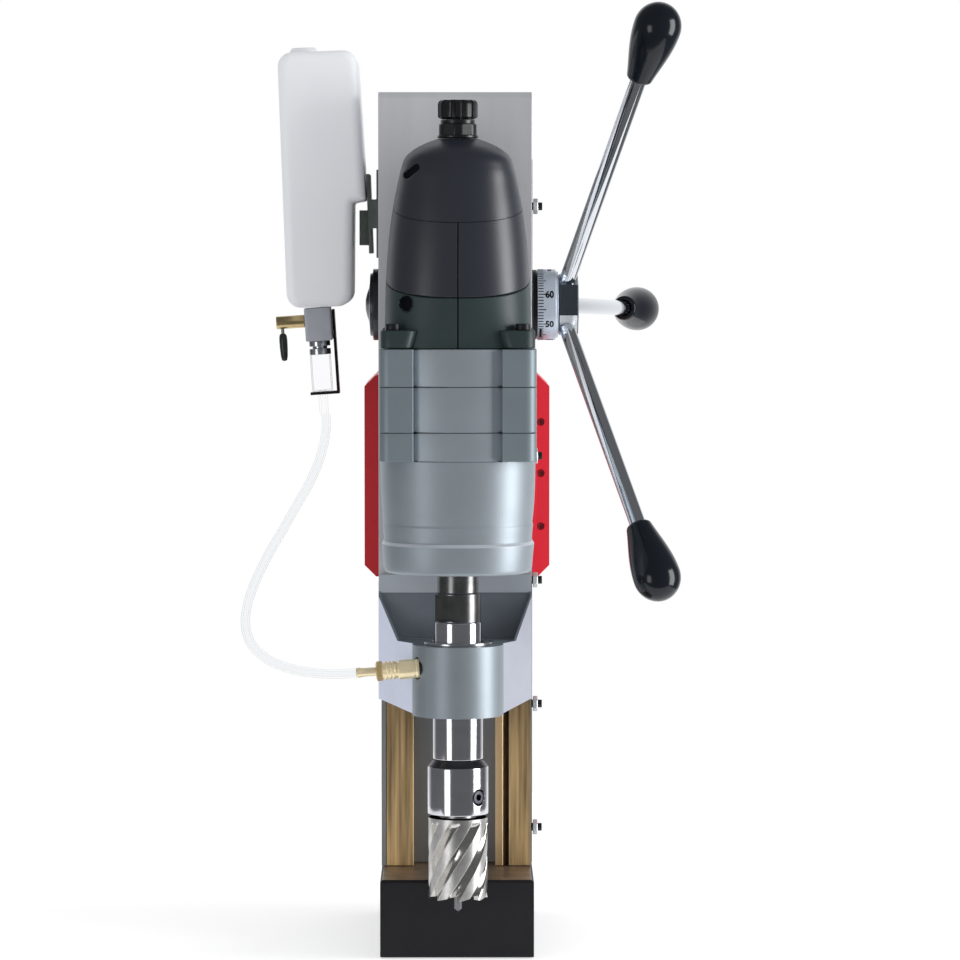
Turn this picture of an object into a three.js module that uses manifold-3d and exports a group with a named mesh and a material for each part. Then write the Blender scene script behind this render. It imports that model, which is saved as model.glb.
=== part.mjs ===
// A cordless magnetic drill on its stand, in millimetres, +Z up, +Y away from the operator.
// The origin is the centre of the magnet's bottom face, where the machine sticks to the steel.
// The stand, the sliding carriage with its motor and gearbox, the spindle and the feed
// handles are groups of their own, so each piece that moves hangs in the group that moves it.
import * as THREE from "three";
import { mergeVertices } from "three/addons/utils/BufferGeometryUtils.js";
import Module from "manifold-3d";

const wasm = await Module();
wasm.setup();

// Fits and finish of the facets, shared by all pieces
const fit = 0.3;
const overrun = 3;
const largeSides = 32;
const roundSides = 24;
const smallSides = 12;
const upright = Math.PI / 2;

// Magnet base
const magnetWidth = 84;
const magnetLength = 168;
const magnetClear = 4;
const magnetHeight = 42.5;
const magnetChamfer = 1.2;
const magnetWall = 10;
const magnetCoreWidth = 24;
const coilHeight = 28;
const coilRecess = 1;

// Column behind the slide
const columnDepth = 85;
const columnFrontY = -17;
const columnHeight = 393;
const columnWall = 6;
const columnFrontWall = 8;
const cheekWidth = 2.4;
const rackSlotWidth = 20;
const rackSlotBottomZ = 215;

// Ways: two guides screwed to the column, and a gib strip that takes up the play
const wayThickness = 14.7;
const leftGuideWidth = 15.3;
const channelWidth = 45.2;
const gibThickness = 4.3;
const gibGap = 3.2;
const dovetailSet = 4;

// Gib adjusting screws with lock nuts, in a row up the right guide
const gibScrewRadius = 2.2;
const gibNutRadius = 5;
const gibNutThickness = 3.5;
const gibScrewProud = 1.5;
const gibScrewFirstShare = 0.05293;
const gibScrewPitchShare = 0.17608;
const gibScrewRows = [0, 1, 2, 3, 5];

// Red housing round the column's back
const housingWidth = 104.4;
const housingFrontY = 12;
const housingBackY = 95;
const housingBottomZ = 201;
const housingTopZ = 315;
const housingWall = 4;
const housingChamfer = 6.5;
const housingScrewRadius = 2.2;
const housingScrewDepth = 2.2;
const housingScrewX = 47.3;
const housingScrewHeights = [229.5, 259.5, 288.5];

// Battery, its rail on the housing, and its release button
const batteryWidth = 76;
const batteryDepth = 56;
const batteryHeight = 114;
const batteryBottomZ = 238;
const batteryRound = 8;
const railStemWidth = 18;
const railHeadWidth = 28;
const railStemDepth = 4;
const railHeadDepth = 4;
const railLength = 70;
const latchWidth = 20;
const latchDepth = 16;
const latchHeight = 9;
const latchProud = 3;
const latchTravel = 3;

// Switch panel on the back of the housing, with its rocker and two push buttons
const panelWidth = 72;
const panelHeight = 27;
const panelThickness = 2;
const panelRound = 4;
const panelZ = 218;
const buttonTravel = 3;
const buttonProud = 3.6;
const buttonLength = 12;
const startRadius = 6;
const startX = 2;
const stopRadius = 7.5;
const stopX = 22;
const rockerWidth = 13;
const rockerX = -21;
const rockerCornerY = 7.1;
const rockerCornerZ = 7;
const rockerDip = 1.4;
const rockerBack = 2;

// Feed shaft through the column, with its scale ring and hub
const shaftY = 1.5;
const shaftZ = 354.8;
const shaftRadius = 8;
const shaftEndRadius = 6;
const bushRadius = 12;
const bushFlangeRadius = 19.5;
const bushFlangeThickness = 2.4;
const ringRadius = 19.8;
const ringWidth = 10.2;
const ringRimRadius = 18.6;
const ringRimWidth = 1.4;
const hubInnerRadius = 15;
const hubWidth = 11;
const coverRadius = 20;
const coverThickness = 4.6;
const coverDomeRadius = 18.2;
const coverDomeHeight = 4.3;

// Rack and pinion: 18 teeth of module 1.25 feed the carriage 70.7 mm a turn
const feedModule = 1.25;
const pinionTeeth = 18;
const pinionWidth = 14;
const rackWidth = 16;
const rackTeeth = 38;
const pressureAngle = (20 * Math.PI) / 180;
const backlash = 0.3;

// Three splayed arms with egg knobs
const armCount = 3;
const armSplay = (16.7 * Math.PI) / 180;
const armTurn = (-1.7 * Math.PI) / 180;
const armRadius = 4.5;
const armStart = 15.7;
const armStudRadius = 2.2;
const armStudStart = 11.4;
const armReach = 193;
const armRootX = 56.9;
const knobLength = 46.5;
const knobRadius = 13;
const knobNeckRadius = 7;
const knobWidestShare = 0.7;
const knobBore = 12;

// Carriage plate that slides on the ways
const carriageWidth = 83.8;
const carriageShift = -1;
const carriageThickness = 29.7;
const carriageBottomZ = 135.5;
const carriageTopZ = 471.5;
const carriageChamfer = 3;

// Spindle axis in front of the carriage
const spindleX = 0.5;
const spindleY = -104;

// Bracket that carries the lower spindle bearing
const bracketRingRadius = 24.6;
const bracketTopZ = 173.6;
const bracketBackThickness = 3;
const bracketBoreRadius = 19;
const gussetTopZ = 204.5;
const gussetThickness = 6;
const gussetShare = 0.62;
const bearingInnerRadius = 13.9;
const bearingLength = 26;

// Spindle, from its lower end to the gear
const spindleNoseZ = 111.8;
const spindleNoseRadius = 13.6;
const spindleRadius = 13;
const spindlePolishTopZ = 185.5;
const spindleNeckRadius = 12.3;
const spindleNeckTopZ = 201.4;
const spindleCollarRadius = 11.1;
const spindleShaftRadius = 9;
const spindleTopZ = 287;
const spindleBoreRadius = 8.3;
const spindleBoreDepth = 42;
const flatBottomZ = 187.5;
const flatTopZ = 197.5;
const flatDepth = 1.6;

// Tool holder, its clamping screw, the annular cutter and the pilot pin
const holderRadius = 16.5;
const holderBottomZ = 80.9;
const holderChamfer = 4;
const holderBoreRadius = 9.9;
const holderBoreDepth = 28;
const holderShankLength = 38;
const clampScrewRadius = 3.8;
const clampScrewZ = 92.5;
const clampScrewTurn = (41 * Math.PI) / 180;
const clampScrewSocketRadius = 2;
const clampScrewSocketDepth = 3;
const cutterRadius = 16;
const cutterBottomZ = 36.2;
const cutterTopZ = 78.2;
const cutterShankRadius = 9.5;
const cutterInnerRadius = 12.2;
const cutterInnerDepth = 34;
const cutterFlutes = 8;
const cutterFluteDepth = 1.9;
const cutterTwist = (100 * Math.PI) / 180;
const cutterSteps = 10;
const pilotRadius = 2.3;
const pilotTipZ = 27.8;
const pilotLength = 70;
const pilotTravel = 6;

// Gear train between motor and spindle, all of module 0.8
const gearModule = 0.8;
const smallGearTeeth = 17;
const largeGearTeeth = 35;
const lowerGearZ = 262;
const upperGearZ = 295;
const gearWidth = 10;
const layshaftRadius = 4;
const layshaftBottomZ = 241;
const layshaftTopZ = 312;

// Gearbox castings
const gearboxHalf = 41.7;
const gearboxLevelShares = [[0, 0.95], [0.12, 0.968], [0.3, 0.981], [0.49, 0.993], [0.8, 1], [1, 1]];
const gearboxBottomZ = 213;
const gearboxTopZ = 289;
const gearPlateHeight = 24.2;
const flangeHeight = 20.4;
const gearPlateTopZ = gearboxTopZ + gearPlateHeight;
const flangeTopZ = gearPlateTopZ + flangeHeight;
const gearboxFloor = 8;
const gearboxExponent = 2.9;
const gearboxBoreRadius = 36;
const plateWebThickness = 4;
const pillarInnerX = 23.5;
const pillarDepth = 20;
const pillarBottomZ = 274;
const pillarRound = 6;
const layshaftBossRadius = 8;
const shaftHoleRadius = 6;

// Motor housing and its cap, parted by a seam that drops towards the front
const motorHeight = 111.4;
const motorHalf = 39.6;
const motorLevelShares = [
  [0.0, 1.0, 3],
  [0.10233, 0.9899, 2.7],
  [0.21903, 0.98232, 2.5],
  [0.37163, 0.96465, 2.4],
  [0.52424, 0.93182, 2.35],
  [0.66786, 0.87879, 2.35],
  [0.77558, 0.82071, 2.4],
  [0.85637, 0.76768, 2.5],
  [0.91023, 0.71212, 2.45],
  [0.95063, 0.58586, 2.3],
  [0.98025, 0.42424, 2.1],
  [1.0, 0.27273, 2],
];
const motorTopZ = flangeTopZ + motorHeight;
const motorSides = 32;
const motorSeamShare = 0.66966;
const seamZ = flangeTopZ + motorHeight * motorSeamShare;
const seamTilt = (10 * Math.PI) / 180;
const motorBoreRadius = 32.6;
const capBoreRadius = 28;
const capRoof = 19;
const capBoreTopZ = motorTopZ - capRoof;
const earHeight = 9.7;
const earOuterX = 41;
const earInnerX = 21.5;
const earDepth = 17;

// Motor winding pack and rotor
const statorInnerRadius = 25;
const statorRiseShare = 0.1113;
const statorHeightShare = 0.4488;
const statorBottomZ = flangeTopZ + motorHeight * statorRiseShare;
const statorHeight = motorHeight * statorHeightShare;
const rotorRadius = 24.3;
const rotorShaftRadius = 4;
const rotorBottomZ = 291.5;
const rotorTopDrop = 12;
const rotorTopZ = motorTopZ - rotorTopDrop;
const commutatorRadius = 11;
const commutatorRiseShare = 0.614;
const commutatorHeightShare = 0.1257;
const commutatorBottomZ = flangeTopZ + motorHeight * commutatorRiseShare;
const commutatorHeight = motorHeight * commutatorHeightShare;
const fanRadius = 28;
const fanRise = 2.9;
const fanBottomZ = flangeTopZ + fanRise;
const fanThickness = 4;

// Cable gland on top of the motor cap
const glandBodyHeight = 10.3;
const glandNutHeight = 10.4;
const glandSplitZ = motorTopZ + glandBodyHeight;
const glandTopZ = glandSplitZ + glandNutHeight;
const glandRadius = 10.7;
const glandStubRadius = 6.5;
const glandStubLength = 5;
const glandHexRadius = 11.6;
const glandRibs = 12;
const glandRibDepth = 1;
const glandChamfer = 1.6;
const glandDish = 3;
const glandDishRadius = 7;

// Brass hose fitting in the bracket's left side
const fittingZ = 163.1;
const fittingForward = 11;
const fittingTilt = (4.2 * Math.PI) / 180;
const fittingTipX = -53.8;
const fittingBarbRadius = 2.7;
const fittingBarbEndX = -42.3;
const fittingNutRadius = 4.8;
const fittingNutEndX = -31.6;
const fittingBodyRadius = 5.2;
const fittingBodyEndX = -20.6;
const fittingStubRadius = 4;
const fittingStubEndX = -18.2;
const fittingBore = 1.5;

// Bracket and hook that hold the coolant tank on the column's left side
const tankPlateThickness = 2.4;
const tankPlateDepth = 40;
const tankPlateBottomZ = 381;
const tankPlateTopZ = 430;
const clipPlateX = -48.6;
const clipPlateThickness = 2;
const clipSpacer = 16;
const hookX = -54.3;
const hookDepth = 24;
const hookBottomZ = 388;
const hookTopZ = 407.5;

// Coolant tank, leaning as it hangs, and its stopper
const tankX = -74.4;
const tankBottomZ = 354.1;
const tankLean = (-2.1 * Math.PI) / 180;
const tankHalf = 21.9;
const tankTopRight = 22;
const tankNotchRight = 23.4;
const tankNotchDepth = 7.2;
const tankFootDraft = 2.4;
const tankNotchRise = 58;
const tankNotchSlope = 3.2;
const tankHalfHeight = 70.3;
const tankNotchZ = tankNotchRise - tankHalfHeight;
const tankZ = tankBottomZ + tankHalfHeight;
const tankDepth = 84;
const tankRound = 8;
const tankEdge = 5;
const tankWall = 2.4;
const tankHoleRadius = 5;
const capRadius = 7.4;
const capHeight = 3.4;
const capX = -8.6;
const capPlugRadius = 4.6;
const capPlugLength = 5;

// Valve under the tank: grey block, brass body, lever, sight glass and its strap
const valveX = -78.1;
const valveZ = 353.2;
const valveLean = (-3.7 * Math.PI) / 180;
const valveWidth = 15;
const valveDepth = 18;
const valveHeight = 18.6;
const brassRadius = 3.6;
const brassLength = 15.8;
const brassZ = -7.2;
const brassStubRadius = 2.6;
const brassStubLength = 3;
const leverX = -20.4;
const leverPinRadius = 1.6;
const leverPinTop = 2;
const leverWidth = 4.6;
const leverThickness = 6;
const leverTopZ = -13.6;
const leverLength = 15.2;
const glassRadius = 5.7;
const glassBoreRadius = 4.2;
const glassLength = 28;
const glassX = 0.6;
const nozzleRadius = 2.7;
const nozzleBoreRadius = 1.4;
const nozzleLength = 13;
const strapThickness = 1.5;
const strapWidth = 12;
const strapX = 7.9;
const strapTopZ = -1.4;
const strapFootX = -7;

// Clear hose from the sight glass to the bracket: its route, chosen by hand
const hoseRadius = 2.5;
const hoseSides = 8;
const hoseSteps = 42;
const hoseRoute = [
  [-73.62, 0, 293.16],
  [-73.3, -0.3, 288],
  [-74.1, -2.5, 279.5],
  [-77.2, -7.8, 267.5],
  [-82.4, -16, 255.5],
  [-89.2, -26, 243.5],
  [-96, -37, 231.5],
  [-103, -50, 219.5],
  [-109.2, -64, 207],
  [-113.6, -78, 194.5],
  [-114.6, -90.5, 183],
  [-110.8, -101, 173.2],
  [-101.8, -109, 165.8],
  [-88.5, -113.4, 161],
  [-74.5, -115, 158.9],
  [-63, -115, 158.5],
  [-53.96, -115, 159.14],
];

const finishes = {
  blackPaint: { color: 0x1f2022, roughness: 0.7, metalness: 0.1 },
  copper: { color: 0x6e3d22, roughness: 0.6, metalness: 0.6 },
  castGrey: { color: 0x8b8f91, roughness: 0.55, metalness: 0.4 },
  aluminium: { color: 0xb4b7b8, roughness: 0.4, metalness: 0.8 },
  bronze: { color: 0xa5834f, roughness: 0.45, metalness: 0.8 },
  zinc: { color: 0xa9adab, roughness: 0.35, metalness: 0.9 },
  redPlastic: { color: 0xd3202f, roughness: 0.4, metalness: 0 },
  blackPlastic: { color: 0x1c1e20, roughness: 0.45, metalness: 0 },
  greenPlastic: { color: 0x1f8a3c, roughness: 0.4, metalness: 0 },
  steel: { color: 0x9ea2a6, roughness: 0.25, metalness: 1 },
  darkSteel: { color: 0x3c3f42, roughness: 0.4, metalness: 0.9 },
  chrome: { color: 0xd8dadc, roughness: 0.1, metalness: 1 },
  milkyPlastic: { color: 0xe6e9ee, roughness: 0.5, metalness: 0 },
  brass: { color: 0xb8913f, roughness: 0.3, metalness: 0.9 },
  clearPlastic: { color: 0xdfe6ea, roughness: 0.1, metalness: 0 },
};

// A three.js geometry as a solid: shared corners merged, collapsed faces dropped, faces turned out
function asSolid(shape) {
  if (!shape.isBufferGeometry) return shape;
  const bare = shape.clone();
  bare.deleteAttribute("normal");
  bare.deleteAttribute("uv");
  const merged = mergeVertices(bare, 1e-4);
  const corners = merged.attributes.position.array;
  const faces = [];
  for (let i = 0; i < merged.index.count; i += 3) {
    const [a, b, c] = [0, 1, 2].map((k) => merged.index.getX(i + k));
    if (a !== b && b !== c && c !== a) faces.push([a, b, c]);
  }
  const point = (k) => new THREE.Vector3().fromArray(corners, 3 * k);
  const volume = faces.reduce((sum, [a, b, c]) => sum + point(a).dot(point(b).cross(point(c))), 0);
  const turned = volume < 0 ? faces.map(([a, b, c]) => [a, c, b]) : faces;
  const mesh = new wasm.Mesh({
    numProp: 3,
    vertProperties: Float32Array.from(corners),
    triVerts: Uint32Array.from(turned.flat()),
  });
  return new wasm.Manifold(mesh);
}

function join(first, ...others) {
  return others.reduce((sum, shape) => sum.add(asSolid(shape)), asSolid(first));
}

function cut(first, ...others) {
  return others.reduce((rest, shape) => rest.subtract(asSolid(shape)), asSolid(first));
}

function overlap(first, second) {
  return asSolid(first).intersect(asSolid(second));
}

// A named mesh of one finish, hung in its group
function addPiece(group, name, shape, finish) {
  const cutMesh = asSolid(shape).getMesh();
  const geometry = new THREE.BufferGeometry();
  const corners = Float32Array.from(cutMesh.vertProperties);
  geometry.setAttribute("position", new THREE.BufferAttribute(corners, 3));
  geometry.setIndex(new THREE.BufferAttribute(Uint32Array.from(cutMesh.triVerts), 1));
  geometry.computeVertexNormals();
  const material = new THREE.MeshStandardMaterial({ ...finishes[finish], flatShading: true });
  const mesh = new THREE.Mesh(geometry, material);
  mesh.name = name;
  group.add(mesh);
  return mesh;
}

function block(x0, x1, y0, y1, z0, z1) {
  const box = new THREE.BoxGeometry(x1 - x0, y1 - y0, z1 - z0);
  return box.translate((x0 + x1) / 2, (y0 + y1) / 2, (z0 + z1) / 2);
}

function shapeOf(points) {
  return new THREE.Shape(points.map(([a, b]) => new THREE.Vector2(a, b)));
}

// An outline in the XY plane carried up from z0 to z1
function prismZ(points, z0, z1) {
  const body = new THREE.ExtrudeGeometry(shapeOf(points), { depth: z1 - z0, bevelEnabled: false });
  return body.translate(0, 0, z0);
}

// An outline of [y, z] points carried along X from x0 to x1
function prismX(points, x0, x1) {
  const toX = new THREE.Matrix4().set(0, 0, 1, 0, 1, 0, 0, 0, 0, 1, 0, 0, 0, 0, 0, 1);
  return prismZ(points, x0, x1).applyMatrix4(toX);
}

// An outline of [x, z] points carried along Y from y0 to y1
function prismY(points, y0, y1) {
  const toY = new THREE.Matrix4().set(1, 0, 0, 0, 0, 0, 1, 0, 0, 1, 0, 0, 0, 0, 0, 1);
  return prismZ(points, y0, y1).applyMatrix4(toY);
}

// A profile of [radius, height] points turned about the Z axis
function turned(profile, sides = roundSides) {
  const points = profile.map(([r, h]) => new THREE.Vector2(r, h));
  return new THREE.LatheGeometry(points, sides).rotateX(upright);
}

// The same about the X axis, its heights running along +X
function turnedX(profile, sides = roundSides) {
  return turned(profile, sides).rotateY(upright);
}

function rod(radius, z0, z1, sides = roundSides) {
  return turned([[0, z0], [radius, z0], [radius, z1], [0, z1]], sides);
}

function rodX(radius, x0, x1, sides = roundSides) {
  return turnedX([[0, x0], [radius, x0], [radius, x1], [0, x1]], sides);
}

function tube(inner, outer, z0, z1, sides = roundSides) {
  return turned([[inner, z0], [outer, z0], [outer, z1], [inner, z1], [inner, z0]], sides);
}

function regularOutline(sides, innerRadius, firstNormal) {
  const outer = innerRadius / Math.cos(Math.PI / sides);
  return Array.from({ length: sides }, (_, k) => {
    const angle = firstNormal + ((k + 0.5) * 2 * Math.PI) / sides;
    return [outer * Math.cos(angle), outer * Math.sin(angle)];
  });
}

// A rectangle with each corner an arc of a few steps
function roundedOutline(x0, x1, y0, y1, radius, steps = 4) {
  const corners = [[x1 - radius, y1 - radius, 0], [x0 + radius, y1 - radius, 1],
    [x0 + radius, y0 + radius, 2], [x1 - radius, y0 + radius, 3]];
  return corners.flatMap(([cx, cy, quarter]) =>
    Array.from({ length: steps + 1 }, (_, k) => {
      const angle = (quarter + k / steps) * upright;
      return [cx + radius * Math.cos(angle), cy + radius * Math.sin(angle)];
    }),
  );
}

// A closed skin over rings of points that all have the same count, from the lowest to the highest
function lofted(rings) {
  const sides = rings[0].length;
  const middle = (ring) => [0, 1, 2].map((k) => ring.reduce((sum, p) => sum + p[k], 0) / sides);
  const corners = [...rings.flat(), middle(rings[0]), middle(rings[rings.length - 1])];
  const bottom = rings.length * sides;
  const top = bottom + 1;
  const lastRing = (rings.length - 1) * sides;
  const faces = [];
  for (let k = 0; k < sides; k += 1) {
    const next = (k + 1) % sides;
    faces.push([bottom, next, k], [top, lastRing + k, lastRing + next]);
    for (let ring = 0; ring < lastRing; ring += sides) {
      const [a, b] = [ring + k, ring + next];
      faces.push([a, b, b + sides], [a, b + sides, a + sides]);
    }
  }
  const geometry = new THREE.BufferGeometry();
  geometry.setAttribute("position", new THREE.Float32BufferAttribute(corners.flat(), 3));
  geometry.setIndex(faces.flat());
  return geometry;
}

// A ring between a circle and a square: exponent 2 is a circle, larger is squarer
function squircle(half, exponent, z, sides = motorSides) {
  const soft = (value) => Math.sign(value) * Math.abs(value) ** (2 / exponent);
  return Array.from({ length: sides }, (_, k) => {
    const angle = ((k + 0.5) * 2 * Math.PI) / sides;
    return [half * soft(Math.cos(angle)), half * soft(Math.sin(angle)), z];
  });
}

const involute = (angle) => Math.tan(angle) - angle;

// Half the angle that a gear tooth fills at a radius, from the involute of its base circle
function toothHalfAngle(teeth, pitchRadius, radius) {
  const baseRadius = pitchRadius * Math.cos(pressureAngle);
  const slope = Math.acos(Math.min(1, baseRadius / radius));
  const atPitch = Math.PI / (2 * teeth) - backlash / (2 * pitchRadius);
  return atPitch + involute(pressureAngle) - involute(slope);
}

// Outline of a spur gear: a flank is a chord from root to pitch circle and one from there to the tip
function gearOutline(teeth, module, firstTooth) {
  const pitchRadius = (teeth * module) / 2;
  const radii = [pitchRadius - 1.25 * module, pitchRadius, pitchRadius + module];
  const flank = radii.map((radius) => [radius, toothHalfAngle(teeth, pitchRadius, radius)]);
  return Array.from({ length: teeth }, (_, tooth) => {
    const centre = firstTooth + (tooth * 2 * Math.PI) / teeth;
    const rising = flank.map(([radius, half]) => [radius, centre - half]);
    const falling = flank.toReversed().map(([radius, half]) => [radius, centre + half]);
    return [...rising, ...falling].map(([r, a]) => [r * Math.cos(a), r * Math.sin(a)]);
  }).flat();
}

// Outline of a rack in [y, z], teeth towards +Y, with a gap at height zero
function rackOutline(teeth, module, pitchY, backY) {
  const pitch = Math.PI * module;
  const [rootY, tipY] = [pitchY - 1.25 * module, pitchY + module];
  const halfAt = (y) => pitch / 4 - backlash / 2 - (y - pitchY) * Math.tan(pressureAngle);
  const first = -Math.floor(teeth / 2) * pitch + pitch / 2;
  const outline = [];
  for (let tooth = 0; tooth < teeth; tooth += 1) {
    const centre = first + tooth * pitch;
    outline.push([rootY, centre - halfAt(rootY)], [tipY, centre - halfAt(tipY)]);
    outline.push([tipY, centre + halfAt(tipY)], [rootY, centre + halfAt(rootY)]);
  }
  const [low, high] = [outline[0][1] - module, outline[outline.length - 1][1] + module];
  return [...outline, [rootY, high], [backY, high], [backY, low], [rootY, low]];
}

// Everything below is placed from these lines, worked out from the driving dimensions
const wayFrontY = columnFrontY - fit - wayThickness;
const wayBackY = columnFrontY - fit;
const wayBottomZ = magnetHeight + fit;
const wayTopZ = wayBottomZ + columnHeight;
const halfColumn = magnetWidth / 2;
const guideLeftX = -halfColumn + cheekWidth + fit;
const channelLeftX = guideLeftX + leftGuideWidth;
const channelRightX = channelLeftX + channelWidth;
const gibRightX = channelRightX + gibThickness;
const rightGuideX = gibRightX + gibGap;
const wayMiddleY = (wayFrontY + wayBackY) / 2;
const gibScrewFirstZ = wayBottomZ + columnHeight * gibScrewFirstShare;
const gibScrewPitch = columnHeight * gibScrewPitchShare;
const carriageBackY = wayFrontY - fit;
const carriageFrontY = carriageBackY - carriageThickness;
const pinionPitchRadius = (pinionTeeth * feedModule) / 2;
const rackPitchY = shaftY - pinionPitchRadius;
const tongueBackY = wayBackY;
const housingHalf = housingWidth / 2;
const ringStartX = halfColumn + fit + bushFlangeThickness + fit;
const hubStartX = ringStartX + ringWidth + ringRimWidth + fit;
const gearSpacing = ((smallGearTeeth + largeGearTeeth) * gearModule) / 2;
const batteryFrontY = housingBackY + fit;
const magnetMiddleY = spindleY + cutterRadius + magnetClear + magnetLength / 2;

const drill = new THREE.Group();
const stand = new THREE.Group();
const magnetGroup = new THREE.Group();
const carriageGroup = new THREE.Group();
const spindleGroup = new THREE.Group();
const feedGroup = new THREE.Group();
const motorGroup = new THREE.Group();
drill.add(stand, carriageGroup, spindleGroup, motorGroup, feedGroup);
spindleGroup.position.set(spindleX, spindleY, 0);
motorGroup.position.set(spindleX, spindleY, 0);
feedGroup.position.set(0, shaftY, shaftZ);
magnetGroup.position.set(0, magnetMiddleY, 0);
stand.add(magnetGroup);

function buildMagnet() {
  const [half, end] = [magnetWidth / 2, magnetLength / 2];
  const tops = [[magnetHeight - magnetChamfer, 0], [magnetHeight, magnetChamfer]];
  const ring = (z, inset) => [[-half + inset, -end + inset, z], [half - inset, -end + inset, z],
    [half - inset, end - inset, z], [-half + inset, end - inset, z]];
  const body = lofted([ring(0, 0), ...tops.map(([z, inset]) => ring(z, inset))]);
  const [grooveHalf, grooveEnd] = [half - magnetWall, end - magnetWall];
  const [coreHalf, coreEnd] = [magnetCoreWidth / 2, grooveEnd - (grooveHalf - magnetCoreWidth / 2)];
  const groove = (gap, z0, z1) =>
    cut(
      block(-grooveHalf + gap, grooveHalf - gap, -grooveEnd + gap, grooveEnd - gap, z0, z1),
      block(-coreHalf - gap, coreHalf + gap, -coreEnd - gap, coreEnd + gap, z0 - overrun, z1 + overrun),
    );
  addPiece(magnetGroup, "magnet_body", cut(body, groove(0, -overrun, coilRecess + coilHeight + fit)), "blackPaint");
  addPiece(magnetGroup, "magnet_coil", groove(fit, coilRecess, coilRecess + coilHeight), "copper");
}

function buildColumn() {
  const backY = columnFrontY + columnDepth;
  const outline = [[-halfColumn, wayFrontY], [-halfColumn + cheekWidth, wayFrontY],
    [-halfColumn + cheekWidth, columnFrontY], [halfColumn, columnFrontY],
    [halfColumn, backY], [-halfColumn, backY]];
  const hollow = block(-halfColumn + columnWall, halfColumn - columnWall,
    columnFrontY + columnFrontWall, backY - columnWall, wayBottomZ - overrun, wayTopZ - columnWall);
  const slot = block(-rackSlotWidth / 2, rackSlotWidth / 2, columnFrontY - overrun,
    columnFrontY + columnFrontWall + overrun, rackSlotBottomZ, wayTopZ + overrun);
  const bores = rodX(bushRadius + fit, -halfColumn - overrun, halfColumn + overrun);
  bores.translate(0, shaftY, shaftZ);
  addPiece(stand, "column", cut(prismZ(outline, wayBottomZ, wayTopZ), hollow, slot, bores), "castGrey");
}

function buildWays() {
  const left = [[guideLeftX, wayFrontY], [channelLeftX, wayFrontY],
    [channelLeftX - dovetailSet, wayBackY], [guideLeftX, wayBackY]];
  const gib = [[channelRightX, wayFrontY], [gibRightX, wayFrontY],
    [gibRightX + dovetailSet, wayBackY], [channelRightX + dovetailSet, wayBackY]];
  const right = [[rightGuideX, wayFrontY], [halfColumn, wayFrontY],
    [halfColumn, wayBackY], [rightGuideX + dovetailSet, wayBackY]];
  const gibFaceX = (gibRightX + gibRightX + dovetailSet) / 2;
  const screwZ = gibScrewRows.map((row) => gibScrewFirstZ + row * gibScrewPitch);
  const holes = screwZ.map((z) =>
    rodX(gibScrewRadius + fit, gibFaceX, halfColumn + overrun, smallSides).translate(0, wayMiddleY, z),
  );
  addPiece(stand, "guide_left", prismZ(left, wayBottomZ, wayTopZ), "bronze");
  addPiece(stand, "gib_strip", prismZ(gib, wayBottomZ, wayTopZ), "bronze");
  addPiece(stand, "guide_right", cut(prismZ(right, wayBottomZ, wayTopZ), ...holes), "bronze");
  const nutX = halfColumn + fit;
  const tipX = gibFaceX + fit + (gibScrewRadius * dovetailSet) / wayThickness;
  screwZ.forEach((z, k) => {
    const nut = prismX(regularOutline(6, gibNutRadius * Math.cos(Math.PI / 6), upright), nutX, nutX + gibNutThickness);
    const screw = rodX(gibScrewRadius, tipX, nutX + gibNutThickness + gibScrewProud, smallSides);
    const mesh = addPiece(stand, `gib_screw_${k + 1}`, join(nut, screw), "zinc");
    mesh.position.set(0, wayMiddleY, z);
  });
}

function buildHousing() {
  const outline = [[housingHalf, housingBottomZ + housingChamfer], [housingHalf, housingTopZ - housingChamfer],
    [housingHalf - housingChamfer, housingTopZ], [-housingHalf + housingChamfer, housingTopZ],
    [-housingHalf, housingTopZ - housingChamfer], [-housingHalf, housingBottomZ + housingChamfer],
    [-housingHalf + housingChamfer, housingBottomZ], [housingHalf - housingChamfer, housingBottomZ]];
  const shell = prismY(outline, housingFrontY, housingBackY);
  const pocket = block(-halfColumn - fit, halfColumn + fit, housingFrontY - overrun,
    columnFrontY + columnDepth + fit, housingBottomZ - overrun, housingTopZ + overrun);
  const hollow = block(-housingHalf + housingWall, housingHalf - housingWall, housingFrontY + housingWall,
    housingBackY - housingWall, housingBottomZ + housingChamfer, housingTopZ - housingChamfer);
  const recesses = housingScrewHeights.map((z) =>
    rod(housingScrewRadius, -overrun, housingScrewDepth, smallSides).rotateX(-upright)
      .translate(housingScrewX, housingFrontY, z),
  );
  const railZ = batteryBottomZ + fit;
  const stem = block(-railStemWidth / 2, railStemWidth / 2, housingBackY - housingWall / 2,
    housingBackY + railStemDepth, railZ, railZ + railLength);
  const head = block(-railHeadWidth / 2, railHeadWidth / 2, housingBackY + railStemDepth,
    housingBackY + railStemDepth + railHeadDepth, railZ, railZ + railLength);
  const body = cut(join(shell, stem, head), pocket, hollow, ...recesses, ...panelHoles());
  addPiece(stand, "rear_housing", body, "redPlastic");
}

// Height of the rocker's pivot and the places of the two buttons, with the holes they need
const rockerPivotY = housingBackY + panelThickness + fit + buttonProud - rockerCornerY - buttonProud / 2;
const rockerReach = Math.hypot(rockerCornerY, rockerCornerZ);

function buttonAlongY(radius, x, y0, y1) {
  return rod(radius, y0, y1, roundSides).rotateX(-upright).translate(x, 0, panelZ);
}

function panelHoles() {
  const [y0, y1] = [housingBackY - housingWall - overrun, housingBackY + panelThickness + overrun];
  const rocker = rodX(rockerReach + fit, -rockerWidth / 2 - fit, rockerWidth / 2 + fit);
  return [
    buttonAlongY(startRadius + fit, startX, y0, y1),
    buttonAlongY(stopRadius + fit, stopX, y0, y1),
    rocker.translate(rockerX, rockerPivotY, panelZ),
  ];
}

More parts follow.
